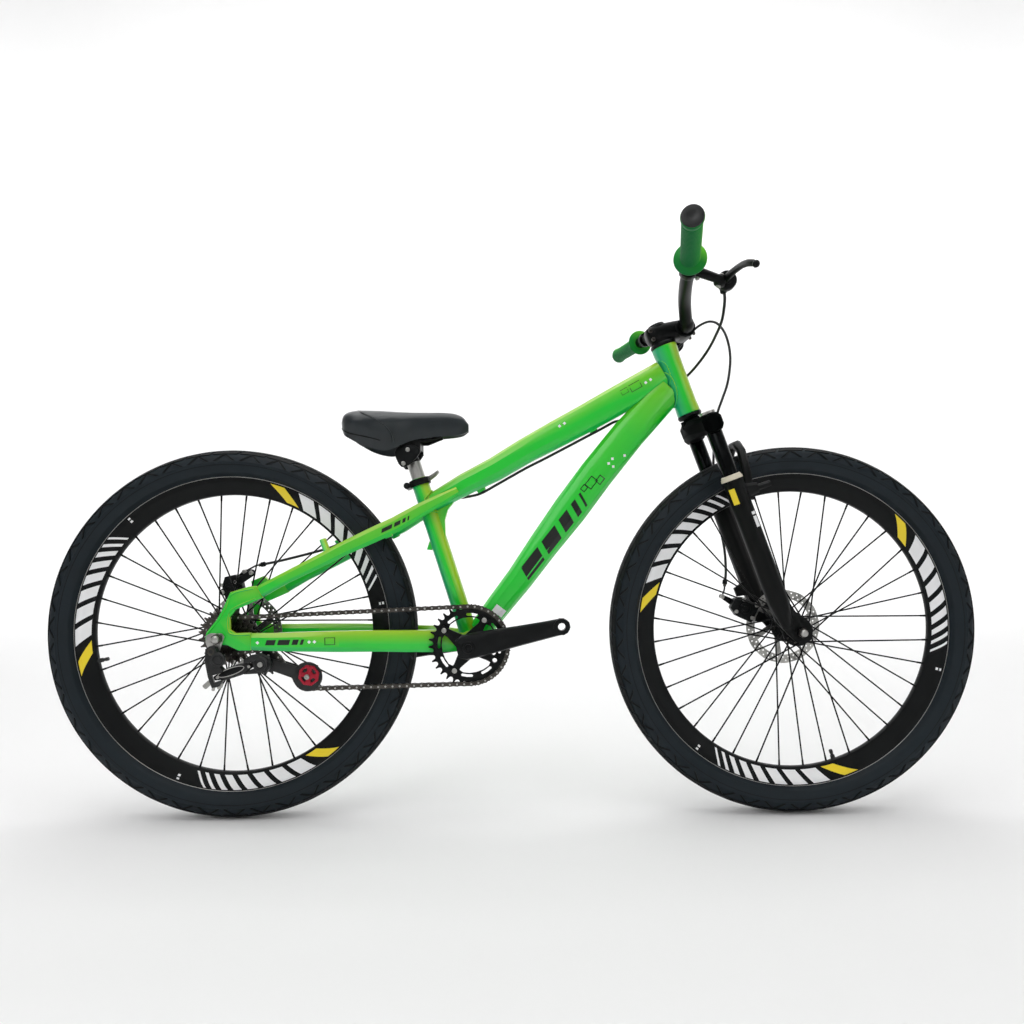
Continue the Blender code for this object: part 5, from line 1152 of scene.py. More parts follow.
def lay_chain():
    """The four toothed wheels, and for each link its roller's centre."""
    wheels = [
        Toothed(BRACKET, RING_TEETH, 1), Toothed(TENSION, PULLEY_TEETH, 1), Toothed(GUIDE, PULLEY_TEETH, -1),
        Toothed(REAR_HUB, CHAIN_COG, 1),
    ]
    joins = []
    for a, b in zip(wheels, wheels[1:] + wheels[:1]):
        gap = b.centre - a.centre
        distance, heading = math.hypot(gap.x, gap.z), math.atan2(gap.z, gap.x)
        crossed = a.turn != b.turn
        lean = math.acos((a.radius + b.radius * (1 if crossed else -1)) / distance)
        leave = heading + a.turn * lean
        joins.append((leave, leave + math.pi if crossed else leave))
    runs = []
    for i, wheel in enumerate(wheels):
        arrive, leave = joins[i - 1][1], joins[i][0]
        swept = (arrive - leave) * wheel.turn % TURN
        runs.append((wheel, arrive, swept, swept * wheel.teeth * CHAIN_PITCH / TURN))
        start, end = wheel.spot(leave), wheels[(i + 1) % 4].spot(joins[i][1])
        runs.append((None, start, end, (end - start).length))
    links = round(sum(run[3] for run in runs) / CHAIN_PITCH)
    rollers = []
    for link in range(links):
        travelled = link * CHAIN_PITCH
        for wheel, first, second, length in runs:
            if travelled <= length:
                break
            travelled -= length
        if wheel:
            wheel.gap_angle = first - wheel.turn * second * travelled / length
            rollers.append(wheel.spot(wheel.gap_angle))
        else:
            rollers.append(first + (second - first).normalized() * travelled)
    return wheels, rollers


def teeth_outline(teeth, gap_angle=0.0, tip=0.0042, root=0.0041):
    """A rounded seat for each roller and a tapered tooth between seats."""
    radius = pitch_radius(teeth)
    points = []
    for angle in angles(teeth, gap_angle):
        middle = Vector(polar(radius, angle))
        inward, across = -middle.normalized(), Vector((-math.sin(angle), math.cos(angle)))
        for step in (-62, -30, 0, 30, 62):
            turn = math.radians(step)
            points.append(tuple(middle + (inward * math.cos(turn) + across * math.sin(turn)) * root))
        peak, reach = angle + math.pi / teeth, radius + tip
        points += [polar(reach, peak + swing / reach) for swing in (-0.0011, 0.0011)]
    return points


class BIKE_OT_drive(BikeStep, bpy.types.Operator):
    """Chain, chainring, cogs, cranks and the rear gear."""

    bl_idname = "bike.drive"
    bl_label = "Chain drive"

    def execute(self, context):
        wheels, rollers = lay_chain()
        self.chain(rollers)
        self.ring(wheels[0])
        self.cogs(wheels[3])
        self.cranks()
        self.gear(wheels)
        return {"FINISHED"}

    def chain(self, rollers):
        """Peanut-shaped side plates, inner and outer in turn, with a roller and a pin at each joint."""
        half, waist, reach = CHAIN_PITCH / 2, 0.0031, 0.0042
        outline = []
        for end, phase in ((1, 0), (-1, 180)):
            for step in (-75, -38, 0, 38, 75):
                outline.append(polar(reach, math.radians(step + phase), (end * half, 0)))
            outline.append((0.0, waist * end))
        shifts = {"inner": 0.0024, "outer": 0.0036}
        places = {"inner": [], "outer": []}
        for number, here in enumerate(rollers):
            there = rollers[(number + 1) % len(rollers)]
            along = (there - here).normalized()
            turn = Matrix((along, Vector((-along.z, 0, along.x)), Vector((0, -1, 0)))).transposed().to_4x4()
            kind = "outer" if number % 2 else "inner"
            for side in (1, -1):
                middle = (here + there) / 2 + LEFT * side * shifts[kind]
                places[kind].append(Matrix.Translation(middle) @ turn)
        made = []
        for kind in ("inner", "outer"):
            first = plate("plate", [outline], 0.001, Matrix.Identity(4))
            made.append(copies(kind + "_plates", first, places[kind]))
        settle(join("chain_plates", made), "dark_steel", "frame", ["chain"])
        joints = [facing(here, LEFT) for here in rollers]
        drum = [(-0.0019, 0), (-0.0019, 0.0038), (0.0019, 0.0038), (0.0019, 0)]
        pin = [
            (-0.0045, 0), (-0.0045, 0.0014), (-0.0042, 0.0018), (0.0042, 0.0018), (0.0045, 0.0014),
            (0.0045, 0),
        ]
        made = [
            copies("chain_drums", lathe("drum", drum, steps=10), joints),
            copies("chain_pins", lathe("pin", pin, steps=8), joints),
        ]
        settle(join("chain_rollers_and_pins", made), "brushed_steel", "frame")

    def ring(self, wheel):
        """The toothed ring with four bays inside it, slots beside the bolt places and one open bolt hole."""
        turns = angles(RING_BOLTS, RING_TURN)
        bay = (
            (0.045, -0.11), (0.0445, 0.0), (0.045, 0.11), (0.048, 0.17), (0.05, 0.3), (0.0497, 0.54),
            (0.0495, 0.785), (0.0497, 1.03), (0.05, 1.27), (0.048, 1.4),
        )
        slot = (
            (0.0522, -0.17), (0.052, 0.0), (0.0522, 0.17), (0.0546, 0.2), (0.057, 0.17), (0.0572, 0.0),
            (0.057, -0.17), (0.0546, -0.2),
        )
        inner = [polar(reach, turn + swing) for turn in turns for reach, swing in bay]
        loops = [teeth_outline(RING_TEETH, wheel.gap_angle), inner]
        for turn in turns:
            for middle in (0.45, math.pi / 2 - 0.45):
                loops.append([polar(reach, turn + middle + swing) for reach, swing in slot])
        loops.append(circle(RING_HOLE, 16, polar(RING_BOLT_CIRCLE, turns[-1])))
        made = plate("chainring_skin", loops, 0.002, upright(BRACKET.x, CHAIN_LINE, BRACKET.z))
        settle(made, "black_satin", "crankset", ["chainring"])
        profile = [
            (0, 0), (0, 0.0046), (0.0014, 0.0046), (0.002, 0.004), (0.002, 0.0025), (0.0006, 0.0023),
            (0.0006, 0),
        ]
        spots = [around(BRACKET, RING_BOLT_CIRCLE, turn, CHAIN_LINE - 0.007) for turn in turns[:-1]]
        made = copies(
            "chainring_bolts", lathe("bolt", profile, steps=20), [facing(spot, -LEFT) for spot in spots]
        )
        settle(made, "brushed_steel", "crankset")

    def cogs(self, wheel):
        """Seven cogs on one core, the largest with round holes, and a ridged lock ring outside them."""
        nearest = CHAIN_LINE + COG_TEETH.index(CHAIN_COG) * COG_SPACING
        made = []
        for number, teeth in enumerate(COG_TEETH):
            phase = wheel.gap_angle if teeth == CHAIN_COG else 0.1 * number
            loops = [teeth_outline(teeth, phase), circle(0.0062, 16)]
            if teeth > CHAIN_COG:
                radius = pitch_radius(teeth) - 0.0125
                loops += [circle(0.0042, 10, polar(radius, angle)) for angle in angles(8)]
            place = upright(REAR_HUB.x, nearest - number * COG_SPACING, REAR_HUB.z)
            made.append(plate("cog_%d" % teeth, loops, 0.0019, place))
        core = [
            (nearest + 0.0012, 0.0062), (nearest + 0.0012, 0.017), (nearest - 0.031, 0.017),
            (nearest - 0.0318, 0.015), (nearest - 0.0318, 0.0062),
        ]
        made.append(lathe("cog_core", core, REAR_HUB, LEFT, 40, closed=True))
        settle(join("cassette_skin", made), "dark_steel", "cassette", ["cassette"])
        place = upright(REAR_HUB.x, nearest - 0.0328, REAR_HUB.z)
        lock = plate("cog_lock_ring", [notched(0.015, 0.0138, 12), circle(0.0105, 32)], 0.002, place, 0.0003)
        settle(lock, "black_satin", "cassette")

    def cranks(self):
        sides = (("right", -1), ("left", 1))
        for name, side in sides:
            arm = dress("crank_" + name, "black_satin", 28, 0.0016, 3)
            if side < 0:
                self.open_hole(arm)
        cap = [
            (0, 0), (0, 0.0108), (0.002, 0.0112), (0.0034, 0.01), (0.0036, 0.0062), (0.0016, 0.0056),
            (0.0014, 0),
        ]
        for name, side in sides:
            made = lathe("crank_bolt_" + name, cap, BRACKET + LEFT * side * 0.0775, LEFT * side, 32)
            settle(made, "black_satin", "crankset")

    def open_hole(self, arm):
        """Bores the spider where the ring has its open hole."""
        spot = around(BRACKET, RING_BOLT_CIRCLE, angles(RING_BOLTS, RING_TURN)[-1], CHAIN_LINE)
        cutter = rod("bore", spot - LEFT * 0.03, spot + LEFT * 0.03, RING_HOLE, 20)
        modify(arm, "BOOLEAN", operation="DIFFERENCE", solver="EXACT", object=cutter)
        bpy.data.objects.remove(cutter)
        shade(arm, 33)

    def gear(self, wheels):
        parts = (("body", 0.0012, 3), ("link", 0.0009, 2), ("knuckle", 0.0014, 3), ("cage", 0.0004, 2))
        for label, edge, segments in parts:
            dress("derailleur_" + label, "black_plastic", 25, edge, segments)
        dress("derailleur_hanger", "brushed_steel", 25, 0.0005, 2)
        for name, wheel, finish_name, slot in (
            ("guide_pulley", wheels[2], "black_plastic", "black_plastic"),
            ("tension_pulley", wheels[1], "red", "red_plastic"),
        ):
            loops = [teeth_outline(PULLEY_TEETH, wheel.gap_angle, 0.0022), circle(0.0041, 16)]
            loops += [circle(0.0026, 10, polar(0.0115, angle)) for angle in angles(5)]
            made = plate(name + "_skin", loops, 0.0021, upright(*wheel.centre))
            settle(made, finish_name, name, [name])
        self.guard()
        self.covers()
        self.link()

    def guard(self):
        """Eight-sided guard outside the tension pulley, with four windows and a dark bumper behind it."""
        spot = Vector((TENSION.x, CHAIN_LINE - 0.0076, TENSION.z))
        window = (
            (0.0135, -0.42), (0.0138, 0.0), (0.0135, 0.42), (0.0085, 0.36), (0.0082, 0.0), (0.0085, -0.36),
        )
        loops = [circle(0.019, 8, phase=0.25)]
        loops += [[polar(reach, turn + swing) for reach, swing in window] for turn in angles(4, 0.65)]
        place = upright(spot.x + 0.0028, spot.y - 0.0012, spot.z + 0.0026)
        settle(plate("tension_guard", loops, 0.0024, place, 0.0005), "red", "derailleur_cage")
        place = upright(spot.x, spot.y + 0.0007, spot.z)
        bumper = plate("tension_bumper", [circle(0.0262, 32)], 0.0012, place, 0.0003)
        settle(bumper, "black_plastic", "derailleur_cage")
        spots = [(spot - LEFT * 0.0022, -LEFT)]
        bolts("guard_bolt", 0.0046, 0.003, spots, "brushed_steel", "derailleur_cage")

    def covers(self):
        """Caps and bolts on the gear's outer side, limit screws and the adjuster on its tail."""
        cap = [
            (0, 0), (0, 0.0122), (0.0008, 0.0132), (0.0034, 0.0132), (0.0048, 0.0118), (0.0054, 0.008),
            (0.0042, 0.0072), (0.0042, 0),
        ]
        hinge, pivot = PLACES["shift_link"], PLACES["shift_knuckle"]
        outer = hinge.y - 0.0062
        mount = Vector((REAR_HUB.x - 0.007, outer, REAR_HUB.z - 0.0205))
        knuckle = Vector((GUIDE.x, pivot.y - 0.0067, GUIDE.z))
        boss = Vector((-0.5085, outer + 0.001, 0.301))
        settle(lathe("gear_body_boss", cap, boss, -LEFT, 40), "black_plastic", "frame")
        settle(lathe("gear_knuckle_cap", cap, knuckle, -LEFT, 40), "black_plastic", "derailleur_knuckle")
        bolts("gear_mount_bolt", 0.0068, 0.0034, [(mount, -LEFT)], "dark_steel", "frame")
        spots = [(knuckle - LEFT * 0.0036, -LEFT)]
        bolts("gear_knuckle_bolt", 0.0046, 0.003, spots, "brushed_steel", "derailleur_knuckle")
        down = Vector((-0.25, 0, -1)).normalized()
        screws = []
        for x, z, out in ((-0.517, 0.2575, -0.0035), (-0.51, 0.259, 0.003), (-0.5035, 0.263, -0.003)):
            screws.append((Vector((x, hinge.y + out, z - 0.0035)), down))
        bolts("limit_screws", 0.0028, 0.0068, screws, "brushed_steel", "frame")
        start = Vector((-0.5245, hinge.y, 0.262))
        end = start + Vector((-0.0105, 0, -0.0095))
        knurled("gear_cable_adjuster", start, end, 0.0046, 12, "brushed_steel", "frame")

    def link(self):
        """Spring housing inside the link, then the outer link: a bright rim round a dark oval."""
        hinge, pivot = PLACES["shift_link"], PLACES["shift_knuckle"]
        along = (pivot - hinge).normalized()
        side = Vector((-along.z, 0, along.x)).normalized()
        face = side.cross(along)
        face = face if face.y < 0 else -face
        turn = Matrix((along, face.cross(along), face)).transposed().to_4x4()
        widths = ((0.02, 0.005), (0.1, 0.0082), (0.35, 0.0098), (0.7, 0.01), (0.92, 0.0085), (1.0, 0.0055))
        sections = [(hinge.lerp(pivot, share), width, 0.005) for share, width in widths]
        settle(loft("link_housing", sections, 20, 2.8, -face), "black_plastic", "derailleur_link")
        oval = [(0.0225 * x, 0.0068 * y) for x, y in circle(1, 48)]
        opening = [(0.94 * x, 0.78 * y) for x, y in oval]
        middle = hinge.lerp(pivot, 0.5) - along * 0.003 + face.cross(along) * 0.002
        for label, lift, thick, loops, finish_name in (
            ("link_cover", 0.0062, 0.0022, [oval], "black_satin"),
            ("link_rim", 0.0076, 0.001, [oval, opening], "brushed_steel"),
        ):
            made = plate(label, loops, thick, Matrix.Translation(middle + face * lift) @ turn, 0.0003)
            settle(made, finish_name, "derailleur_link")
        pins = [(hinge + face * 0.0064, face), (pivot + face * 0.0064, face)]
        bolts("link_pins", 0.0026, 0.0018, pins, "brushed_steel", "derailleur_link")


# Frame


def along_line(origin, ahead, corners):
    """Corners measured along a slanted line and across it, as places (x, z)."""
    origin, ahead = Vector(origin), Vector(ahead)
    over = Vector((-ahead.y, ahead.x))
    return [origin + ahead * along + over * across for along, across in corners]


def slanted(begin, end, low, high, slant=0.0):
    """A bar's corners, with its upper edge moved along by slant."""
    return [(begin, low), (end, low), (end + slant, high), (begin + slant, high)]


def diamond(x, z):
    return [(x - DOT_REACH, z), (x, z - DOT_REACH), (x + DOT_REACH, z), (x, z + DOT_REACH)]


def frame_strips(x, z, long, tall, side_line, level_line):
    """The corners of each of the four strips of a thin frame round a place."""
    a, b = long / 2, tall / 2
    strips = (
        (-a, a, b - level_line, b), (-a, a, -b, level_line - b), (-a, side_line - a, -b, b),
        (a - side_line, a, -b, b),
    )
    return [slanted(x + begin, x + end, z + low, z + high) for begin, end, low, high in strips]


class BIKE_OT_frame(BikeStep, bpy.types.Operator):
    """Tubes, stays, dropouts and what is clamped to them."""

    bl_idname = "bike.frame"
    bl_label = "Frame"

    def execute(self, context):
        for name in (
            "top_tube", "down_tube", "seat_tube", "bb_shell", "chainstay_left", "chainstay_right",
            "seatstay_left", "seatstay_right",
        ):
            dress(name, "green_paint", 24, 0.0016, 3)
        for name in ("dropout_left", "dropout_right"):
            dress(name, "green_paint", 24, 0.001, 3)
        half = HEAD_HALF
        profile = [
            (-half, 0.0165), (-half, 0.0224), (-half + 0.001, 0.0232), (-half + 0.012, 0.023),
            (-0.04, 0.0216), (0.0, 0.0208), (0.045, 0.0205), (half - 0.008, 0.0212), (half - 0.001, 0.0213),
            (half, 0.0206), (half, 0.0165),
        ]
        head = lathe("head_tube_skin", profile, HEAD, DOWN, 48, closed=True)
        settle(head, "green_paint", "frame", ["head_tube"])
        for name, near, radius in (("headset_upper", -1, 0.0232), ("headset_lower", 1, 0.0218)):
            steps = (
                (0, 0.0166), (0, radius), (0.003, radius + 0.0006), (0.0055, radius - 0.0002),
                (0.0077, radius - 0.0022), (0.0077, 0.0166),
            )
            cup = [(near * (half + 0.0003 + out), reach) for out, reach in steps]
            made = lathe(name + "_skin", cup, HEAD, DOWN, 48, closed=True)
            settle(made, "black_satin", "frame", [name])
        dress("seat_clamp", "black_satin", 28, 0.0006, 2)
        dress("rear_axle", "dark_steel", 40, 0.0005, 2)
        self.ribs()
        self.welds()
        self.guides()
        self.marks()
        cups = []
        steps = ((0, 0.0125), (0, 0.0186), (0.0006, 0.0192), (0.003, 0.0192), (0.003, 0.0125))
        for side in (1, -1):
            profile = [(side * (0.0366 - inward), reach) for inward, reach in steps]
            cups.append(lathe("cup", profile, BRACKET, LEFT, 40, closed=True))
        settle(join("bracket_cups", cups), "black_satin", "frame")
        return {"FINISHED"}

    def ribs(self):
        """Raised rims round each dropout's edge and window."""
        runs = (
            ((0.061, 0.0868), (0.024, 0.0768), (0.0118, 0.0515), (0.0008, 0.033), (-0.0185, 0.01)),
            (
                (0.0545, 0.0066), (0.0285, 0.0062), (0.017, 0.013), (0.0164, 0.038), (0.0275, 0.0527),
                (0.064, 0.0688),
            ),
        )
        beads = []
        for side in (1, -1):
            for run in runs:
                points = [REAR_HUB + Vector((x, 0.0749 * side, z)) for x, z in run]
                beads.append(sweep("rib", smooth_run(points, 6), 0.0014, 3, degrees=60))
        settle(join("dropout_ribs", beads), "green_paint", "frame")

    def weld(self, start, end, half_width, half_height, on, axis, radius, squareness=2.6):
        """A scalloped bead where a tube from start to end meets a round one."""
        start, end, on, axis = Vector(start), Vector(end), Vector(on), Vector(axis).normalized()
        along = (end - start).normalized()
        side = along.cross(Vector((0, 0, 1))).normalized()
        up = side.cross(along)
        flat = along - axis * along.dot(axis)
        points = []
        for x, y in ring(72, squareness):
            spot = start + side * x * half_width + up * y * half_height
            away = spot - on
            away -= axis * away.dot(axis)
            a, b, c = flat.dot(flat), 2 * away.dot(flat), away.dot(away) - radius * radius
            inside = b * b - 4 * a * c
            t = (-b - math.sqrt(max(inside, 0))) / (2 * a)
            points.append(spot + along * t)
        radii = [1 + 0.22 * math.cos(math.pi * i) for i in range(len(points))]
        return sweep("weld", points, 0.0015, 2, radii, 60, closed=True)

    def welds(self):
        post = UP_SEAT
        beads = [
            self.weld((0.19, 0, 0.7572), (0.278, 0, 0.807), 0.0172, 0.0265, HEAD, DOWN, 0.0208),
            self.weld((0.2127, 0, 0.6966), (0.29, 0, 0.78), 0.0184, 0.0295, HEAD, DOWN, 0.0214),
            self.weld((-0.0325, 0, 0.6343), (-0.156, 0, 0.569), 0.0188, 0.02, BRACKET, post, 0.0165),
            self.weld((0.0123, 0, 0.4338), (-0.062, 0, 0.338), 0.0222, 0.022, BRACKET, LEFT, 0.0206),
            self.weld(BRACKET + post * 0.09, BRACKET, 0.0166, 0.0166, BRACKET, LEFT, 0.0206, 2.0),
        ]
        for side in (1, -1):
            start, end = (-0.19, 0.0405 * side, 0.3245), (-0.09, 0.0255 * side, 0.32)
            beads.append(self.weld(start, end, 0.0092, 0.0195, BRACKET, LEFT, 0.0208))
        settle(join("weld_beads", beads), "green_paint", "frame")

    def guides(self):
        """Small welded lugs that hold the cable under the top tube, and bare ones on stay and seat tube."""
        lugs = []
        for x, y, z, tilt, size in (
            (0.148, 0.0, 0.708, 0.49, 0.0056), (-0.059, 0.0015, 0.599, 0.49, 0.006),
            (-0.1515, 0.0, 0.4935, 1.26, 0.0048), (-0.223, -0.0392, 0.5145, 0.44, 0.0052),
            (-0.223, 0.0392, 0.5145, 0.44, 0.0052),
        ):
            place = upright(x, y, z) @ Matrix.Rotation(tilt, 4, "Z")
            low, high, rise = size * 1.3, size * 1.7, size
            outline = [(-low, -0.9 * rise), (low, -0.9 * rise), (high, 1.1 * rise), (-high, 1.1 * rise)]
            lugs.append(plate("lug", [outline], size * 1.1, place, 0.0009))
        settle(join("cable_lugs", lugs), "green_paint", "frame")

    def marks(self):
        """Plain bars, thin frames and dots of film, laid on the tubes' sides."""
        for side, hand in ((-1, "right"), (1, "left")):
            y = FILM_START * side
            for tube, films in (
                ("down_tube", self.down_tube_films), ("top_tube", self.top_tube_films),
                ("chainstay_" + hand, self.chain_stay_films), ("seatstay_" + hand, self.seat_stay_films),
            ):
                black, white = films(y)
                self.lay(tube, black, white, side, hand)

    def down_tube_films(self, y):
        foot, top = Vector((-0.062, 0.338)), Vector((0.29, 0.78))
        ahead = (top - foot).normalized()
        black, white = [], []
        for begin, end in ((0.128, 0.176), (0.188, 0.226), (0.238, 0.262), (0.274, 0.286), (0.297, 0.302)):
            bar = slanted(begin, end, -0.0125, 0.0125, 0.01)
            black.append(grid_sheet(along_line(foot, ahead, bar), 6, 6, y))
        for along, rise, long, tall in (
            (0.338, 0.0075, 0.021, 0.015), (0.352, -0.002, 0.015, 0.012), (0.322, 0.0115, 0.012, 0.01),
        ):
            for strip in frame_strips(along, rise, long, tall, 0.0016, 0.0016):
                black.append(grid_sheet(along_line(foot, ahead, strip), 2, 5, y))
        for along, rise in ((0.385, 0.004), (0.396, 0.004), (0.386, -0.006), (0.415, -0.01)):
            white.append(grid_sheet(along_line(foot, ahead, diamond(along, rise)), 2, 2, y))
        white.append(grid_sheet(along_line(foot, ahead, slanted(0.044, 0.059, -0.0195, 0.006)), 6, 2, y))
        return black, white

    def top_tube_films(self, y):
        tilt = 0.515
        ahead = (math.cos(tilt), math.sin(tilt))
        black, white = [], []
        for x, z, long, tall in ((0.225, 0.783, 0.022, 0.014), (0.205, 0.7735, 0.014, 0.01)):
            for strip in frame_strips(0, 0, long, tall, 0.045 * long, 0.07 * tall):
                black.append(grid_sheet(along_line((x, z), ahead, strip), 2, 4, y))
        for x, z in ((0.244, 0.7895), (0.253, 0.795), (0.086, 0.7105), (0.095, 0.7155)):
            white.append(grid_sheet(diamond(x, z), 2, 2, y))
        return black, white

    def chain_stay_films(self, y):
        black, white = [], []
        for x, long in ((-0.431, 0.016), (-0.4105, 0.02), (-0.386, 0.01), (-0.372, 0.005)):
            black.append(grid_sheet(slanted(x, x + long, 0.324, 0.333, 0.003), 3, 4, y))
        for x in (-0.444, -0.356, -0.347):
            white.append(grid_sheet(diamond(x, 0.3285), 2, 2, y))
        for strip in frame_strips(-0.321, 0.329, 0.018, 0.013, 0.00126, 0.00091):
            black.append(grid_sheet(strip, 2, 3, y))
        return black, white

    def seat_stay_films(self, y):
        ahead, rise = Vector((0.8955, 0.445)), Vector((0.0006, 0.0039))
        black = []
        for along, long in ((0.0, 0.02), (0.024, 0.012), (0.04, 0.006), (0.05, 0.003)):
            start = Vector((-0.233, 0.5215)) + ahead * along
            end = start + ahead * long
            black.append(grid_sheet([start - rise, end - rise, end + rise, start + rise], 3, 4, y))
        return black, []

    def lay(self, tube, black, white, side, hand):
        for label, made, finish_name in (("dark", black, "black_film"), ("light", white, "white_film")):
            if made:
                sheet = join("%s_marks_%s_%s" % (tube, label, hand), made)
                lay_on(sheet, bpy.data.objects[tube + "_skin"], 0.00022, side)
                settle(shell_of(sheet, 0.00014), finish_name, "frame")


# Saddle

# How square the pad's crown is
CROWN_RISE = 0.9


class BIKE_OT_seat(BikeStep, bpy.types.Operator):
    """Post, quick-release lever, rails and the padded saddle."""

    bl_idname = "bike.seat"
    bl_label = "Saddle and post"

    def execute(self, context):
        dress("qr_lever", "brushed_steel", 28, 0.0008, 2)
        post = dress("seatpost", "brushed_steel", 35, 0.0004, 2)
        post.data.materials.append(finish("black_satin"))
        for face in post.data.polygons:
            if (face.center - BRACKET).dot(UP_SEAT) > 0.35:
                face.material_index = 1
        dress("saddle_rails", "black_gloss", 30, 0.0008, 2)
        self.saddle()
        self.clamp()
        return {"FINISHED"}

    def clamp(self):
        """Dark clamp round the post's head, with its bolts and bars."""
        head = BRACKET + UP_SEAT * 0.368
        profile = [
            (-0.0176, 0.0108), (-0.0176, 0.0116), (-0.0166, 0.0122), (0.0166, 0.0122), (0.0176, 0.0116),
            (0.0176, 0.0108),
        ]
        settle(lathe("post_head_cover", profile, head, LEFT, 36, closed=True), "black_satin", "seatpost")
        outline = [
            (-0.213, 0.664), (-0.208, 0.673), (-0.196, 0.6775), (-0.179, 0.677), (-0.169, 0.672),
            (-0.1665, 0.664), (-0.173, 0.6545), (-0.183, 0.644), (-0.193, 0.6375), (-0.201, 0.6375),
            (-0.206, 0.643), (-0.211, 0.654),
        ]
        ears, spots = [], []
        for side in (1, -1):
            ears.append(plate("ear", [outline], 0.0056, upright(0, 0.0236 * side, 0), 0.0014))
            for x, z in ((head.x, head.z), (-0.1968, 0.6436)):
                spots.append((Vector((x, 0.0262 * side, z)), LEFT * side))
        settle(join("saddle_clamp_ears", ears), "black_satin", "saddle")
        bolts("saddle_clamp_bolts", 0.004, 0.003, spots, "brushed_steel", "saddle")
        for number, along in enumerate((-0.012, 0.017)):
            start = head + Vector((along, -0.015, 0.0205))
            bar = rod("clamp_bar_%d" % number, start, start + LEFT * 0.03, 0.003, 14)
            settle(bar, "black_satin", "saddle")

    def station(self, distance):
        """Half width, top, wing and underside at a distance from the tail, smooth through the stations."""
        rows = SADDLE_STATIONS
        for index, (a, b) in enumerate(zip(rows, rows[1:])):
            if a[0] <= distance <= b[0]:
                break
        before, after = rows[max(index - 1, 0)], rows[min(index + 2, len(rows) - 1)]
        span = b[0] - a[0]
        t = (distance - a[0]) / span
        made = []
        for k in range(1, len(a)):
            first = (b[k] - before[k]) / (b[0] - before[0]) * span
            last = (after[k] - a[k]) / (after[0] - a[0]) * span
            made.append(
                (2 * t**3 - 3 * t**2 + 1) * a[k] + (t**3 - 2 * t**2 + t) * first
                + (-2 * t**3 + 3 * t**2) * b[k] + (t**3 - t**2) * last
            )
        return made

    def shape(self, distance):
        """The same, with the height of the seam between crown and wings after the top."""
        half_width, top, wing, under = self.station(distance)
        return half_width, top, top - 0.42 * (top - min(wing, under)), wing, under

    def crown(self, half_width, angle):
        return half_width * math.sin(angle) ** 0.8

    def wings(self, half_width, share):
        return half_width * (1 - 0.2 * share**1.6)

    def saddle(self):
        """The padded shell, lofted through a loop of points at each of 64 steps from tail to nose."""
        points, edges = [], []
        length, steps, crown_steps = SADDLE_STATIONS[-1][0], 64, 16
        for number in range(steps + 1):
            share = number / steps
            # Closer together at both ends
            distance = length * (share - math.sin(TURN * share) / TURN * 0.75)
            half_width, top, seam, wing, under = self.shape(distance)
            half = [(0.0, top - 0.0004)]
            for step in range(1, crown_steps + 1):
                angle = math.pi / 2 * step / crown_steps
                z = seam + (top - seam) * math.cos(angle) ** CROWN_RISE
                half.append((self.crown(half_width, angle), z))
            for part in (0.25, 0.5, 0.75, 1.0):
                half.append((self.wings(half_width, part), seam + (wing - seam) * part))
            for width, part in ((0.72, 0.3), (0.6, 0.7), (0.48, 1.0)):
                half.append((half_width * width, wing * (1 - part) + under * part))
            loop = half + [(-y, z) for y, z in reversed(half[1:])]
            edges += loop_edges(len(points), len(loop))
            points += [Vector((SADDLE_TAIL + distance, y, z)) for y, z in loop]
        pad = bridge("saddle_pad", points, edges)
        folds = bpy.data.textures.new("soft_unevenness", "CLOUDS")
        folds.noise_scale = 0.03
        shade(modify(pad, "DISPLACE", texture=folds, strength=0.0005), 60)
        settle(pad, "leatherette", "saddle", ["saddle"])
        self.seams()

    def on_pad(self, distance, z, side, lift=0.0004):
        """The point on the pad's side at a distance from the tail and a height."""
        half_width, top, seam, wing, _ = self.shape(distance)
        if z >= seam:
            y = self.crown(half_width, math.acos(min(1.0, (z - seam) / (top - seam)) ** (1 / CROWN_RISE)))
        else:
            y = self.wings(half_width, min(1.0, (z - seam) / (wing - seam)))
        return Vector((SADDLE_TAIL + distance, (y + lift) * side, z + lift * 0.5))

    def over_back(self, run, crest, shift=0.0):
        """A run of points up the right side, over the middle and down the left side."""
        right = [self.on_pad(distance + shift, z, -1) for distance, z in run]
        left = [self.on_pad(distance + shift, z, 1) for distance, z in reversed(run)]
        return right + crest + left

    def seams(self):
        """Piping round the lower back edge, and the cover's stitched seam over the back."""
        low = (
            (0.0709, 0.6812), (0.056, 0.6845), (0.04, 0.688), (0.022, 0.6922), (0.011, 0.6962), (0.005, 0.7),
        )
        tail = [Vector((SADDLE_TAIL + 0.0002, y, 0.7052)) for y in (-0.04, -0.02, 0.0, 0.02, 0.04)]
        run = smooth_run(self.over_back(low, tail), 6)
        settle(sweep("saddle_piping", run, 0.0011, 4, degrees=60), "black_gloss", "saddle")
        over = (
            (0.0915, 0.679), (0.09, 0.69), (0.085, 0.701), (0.074, 0.711), (0.056, 0.721), (0.038, 0.73),
        )
        runs = []
        for shift in (0.0, 0.0034):
            crest = [Vector((SADDLE_TAIL + 0.027 + shift, y, 0.7392)) for y in (-0.03, 0.0, 0.03)]
            runs.append(smooth_run(self.over_back(over, crest, shift), 10))
        welt, thread = runs
        settle(sweep("saddle_welt", welt, 0.0008, 3, degrees=60), "leatherette", "saddle")
        stitch = lathe("stitch", [(0, 0), (0.08, 0.0005), (0.92, 0.0005), (1, 0)], steps=6)
        places, travelled = [], 0.0
        for a, b in zip(thread, thread[1:]):
            travelled += (b - a).length
            if travelled > 0.004:
                travelled = 0.0
                along = (b - a).normalized()
                places.append(between(b - along * 0.0012, b + along * 0.0012))
        settle(copies("saddle_stitches", stitch, places), "black_plastic", "saddle")


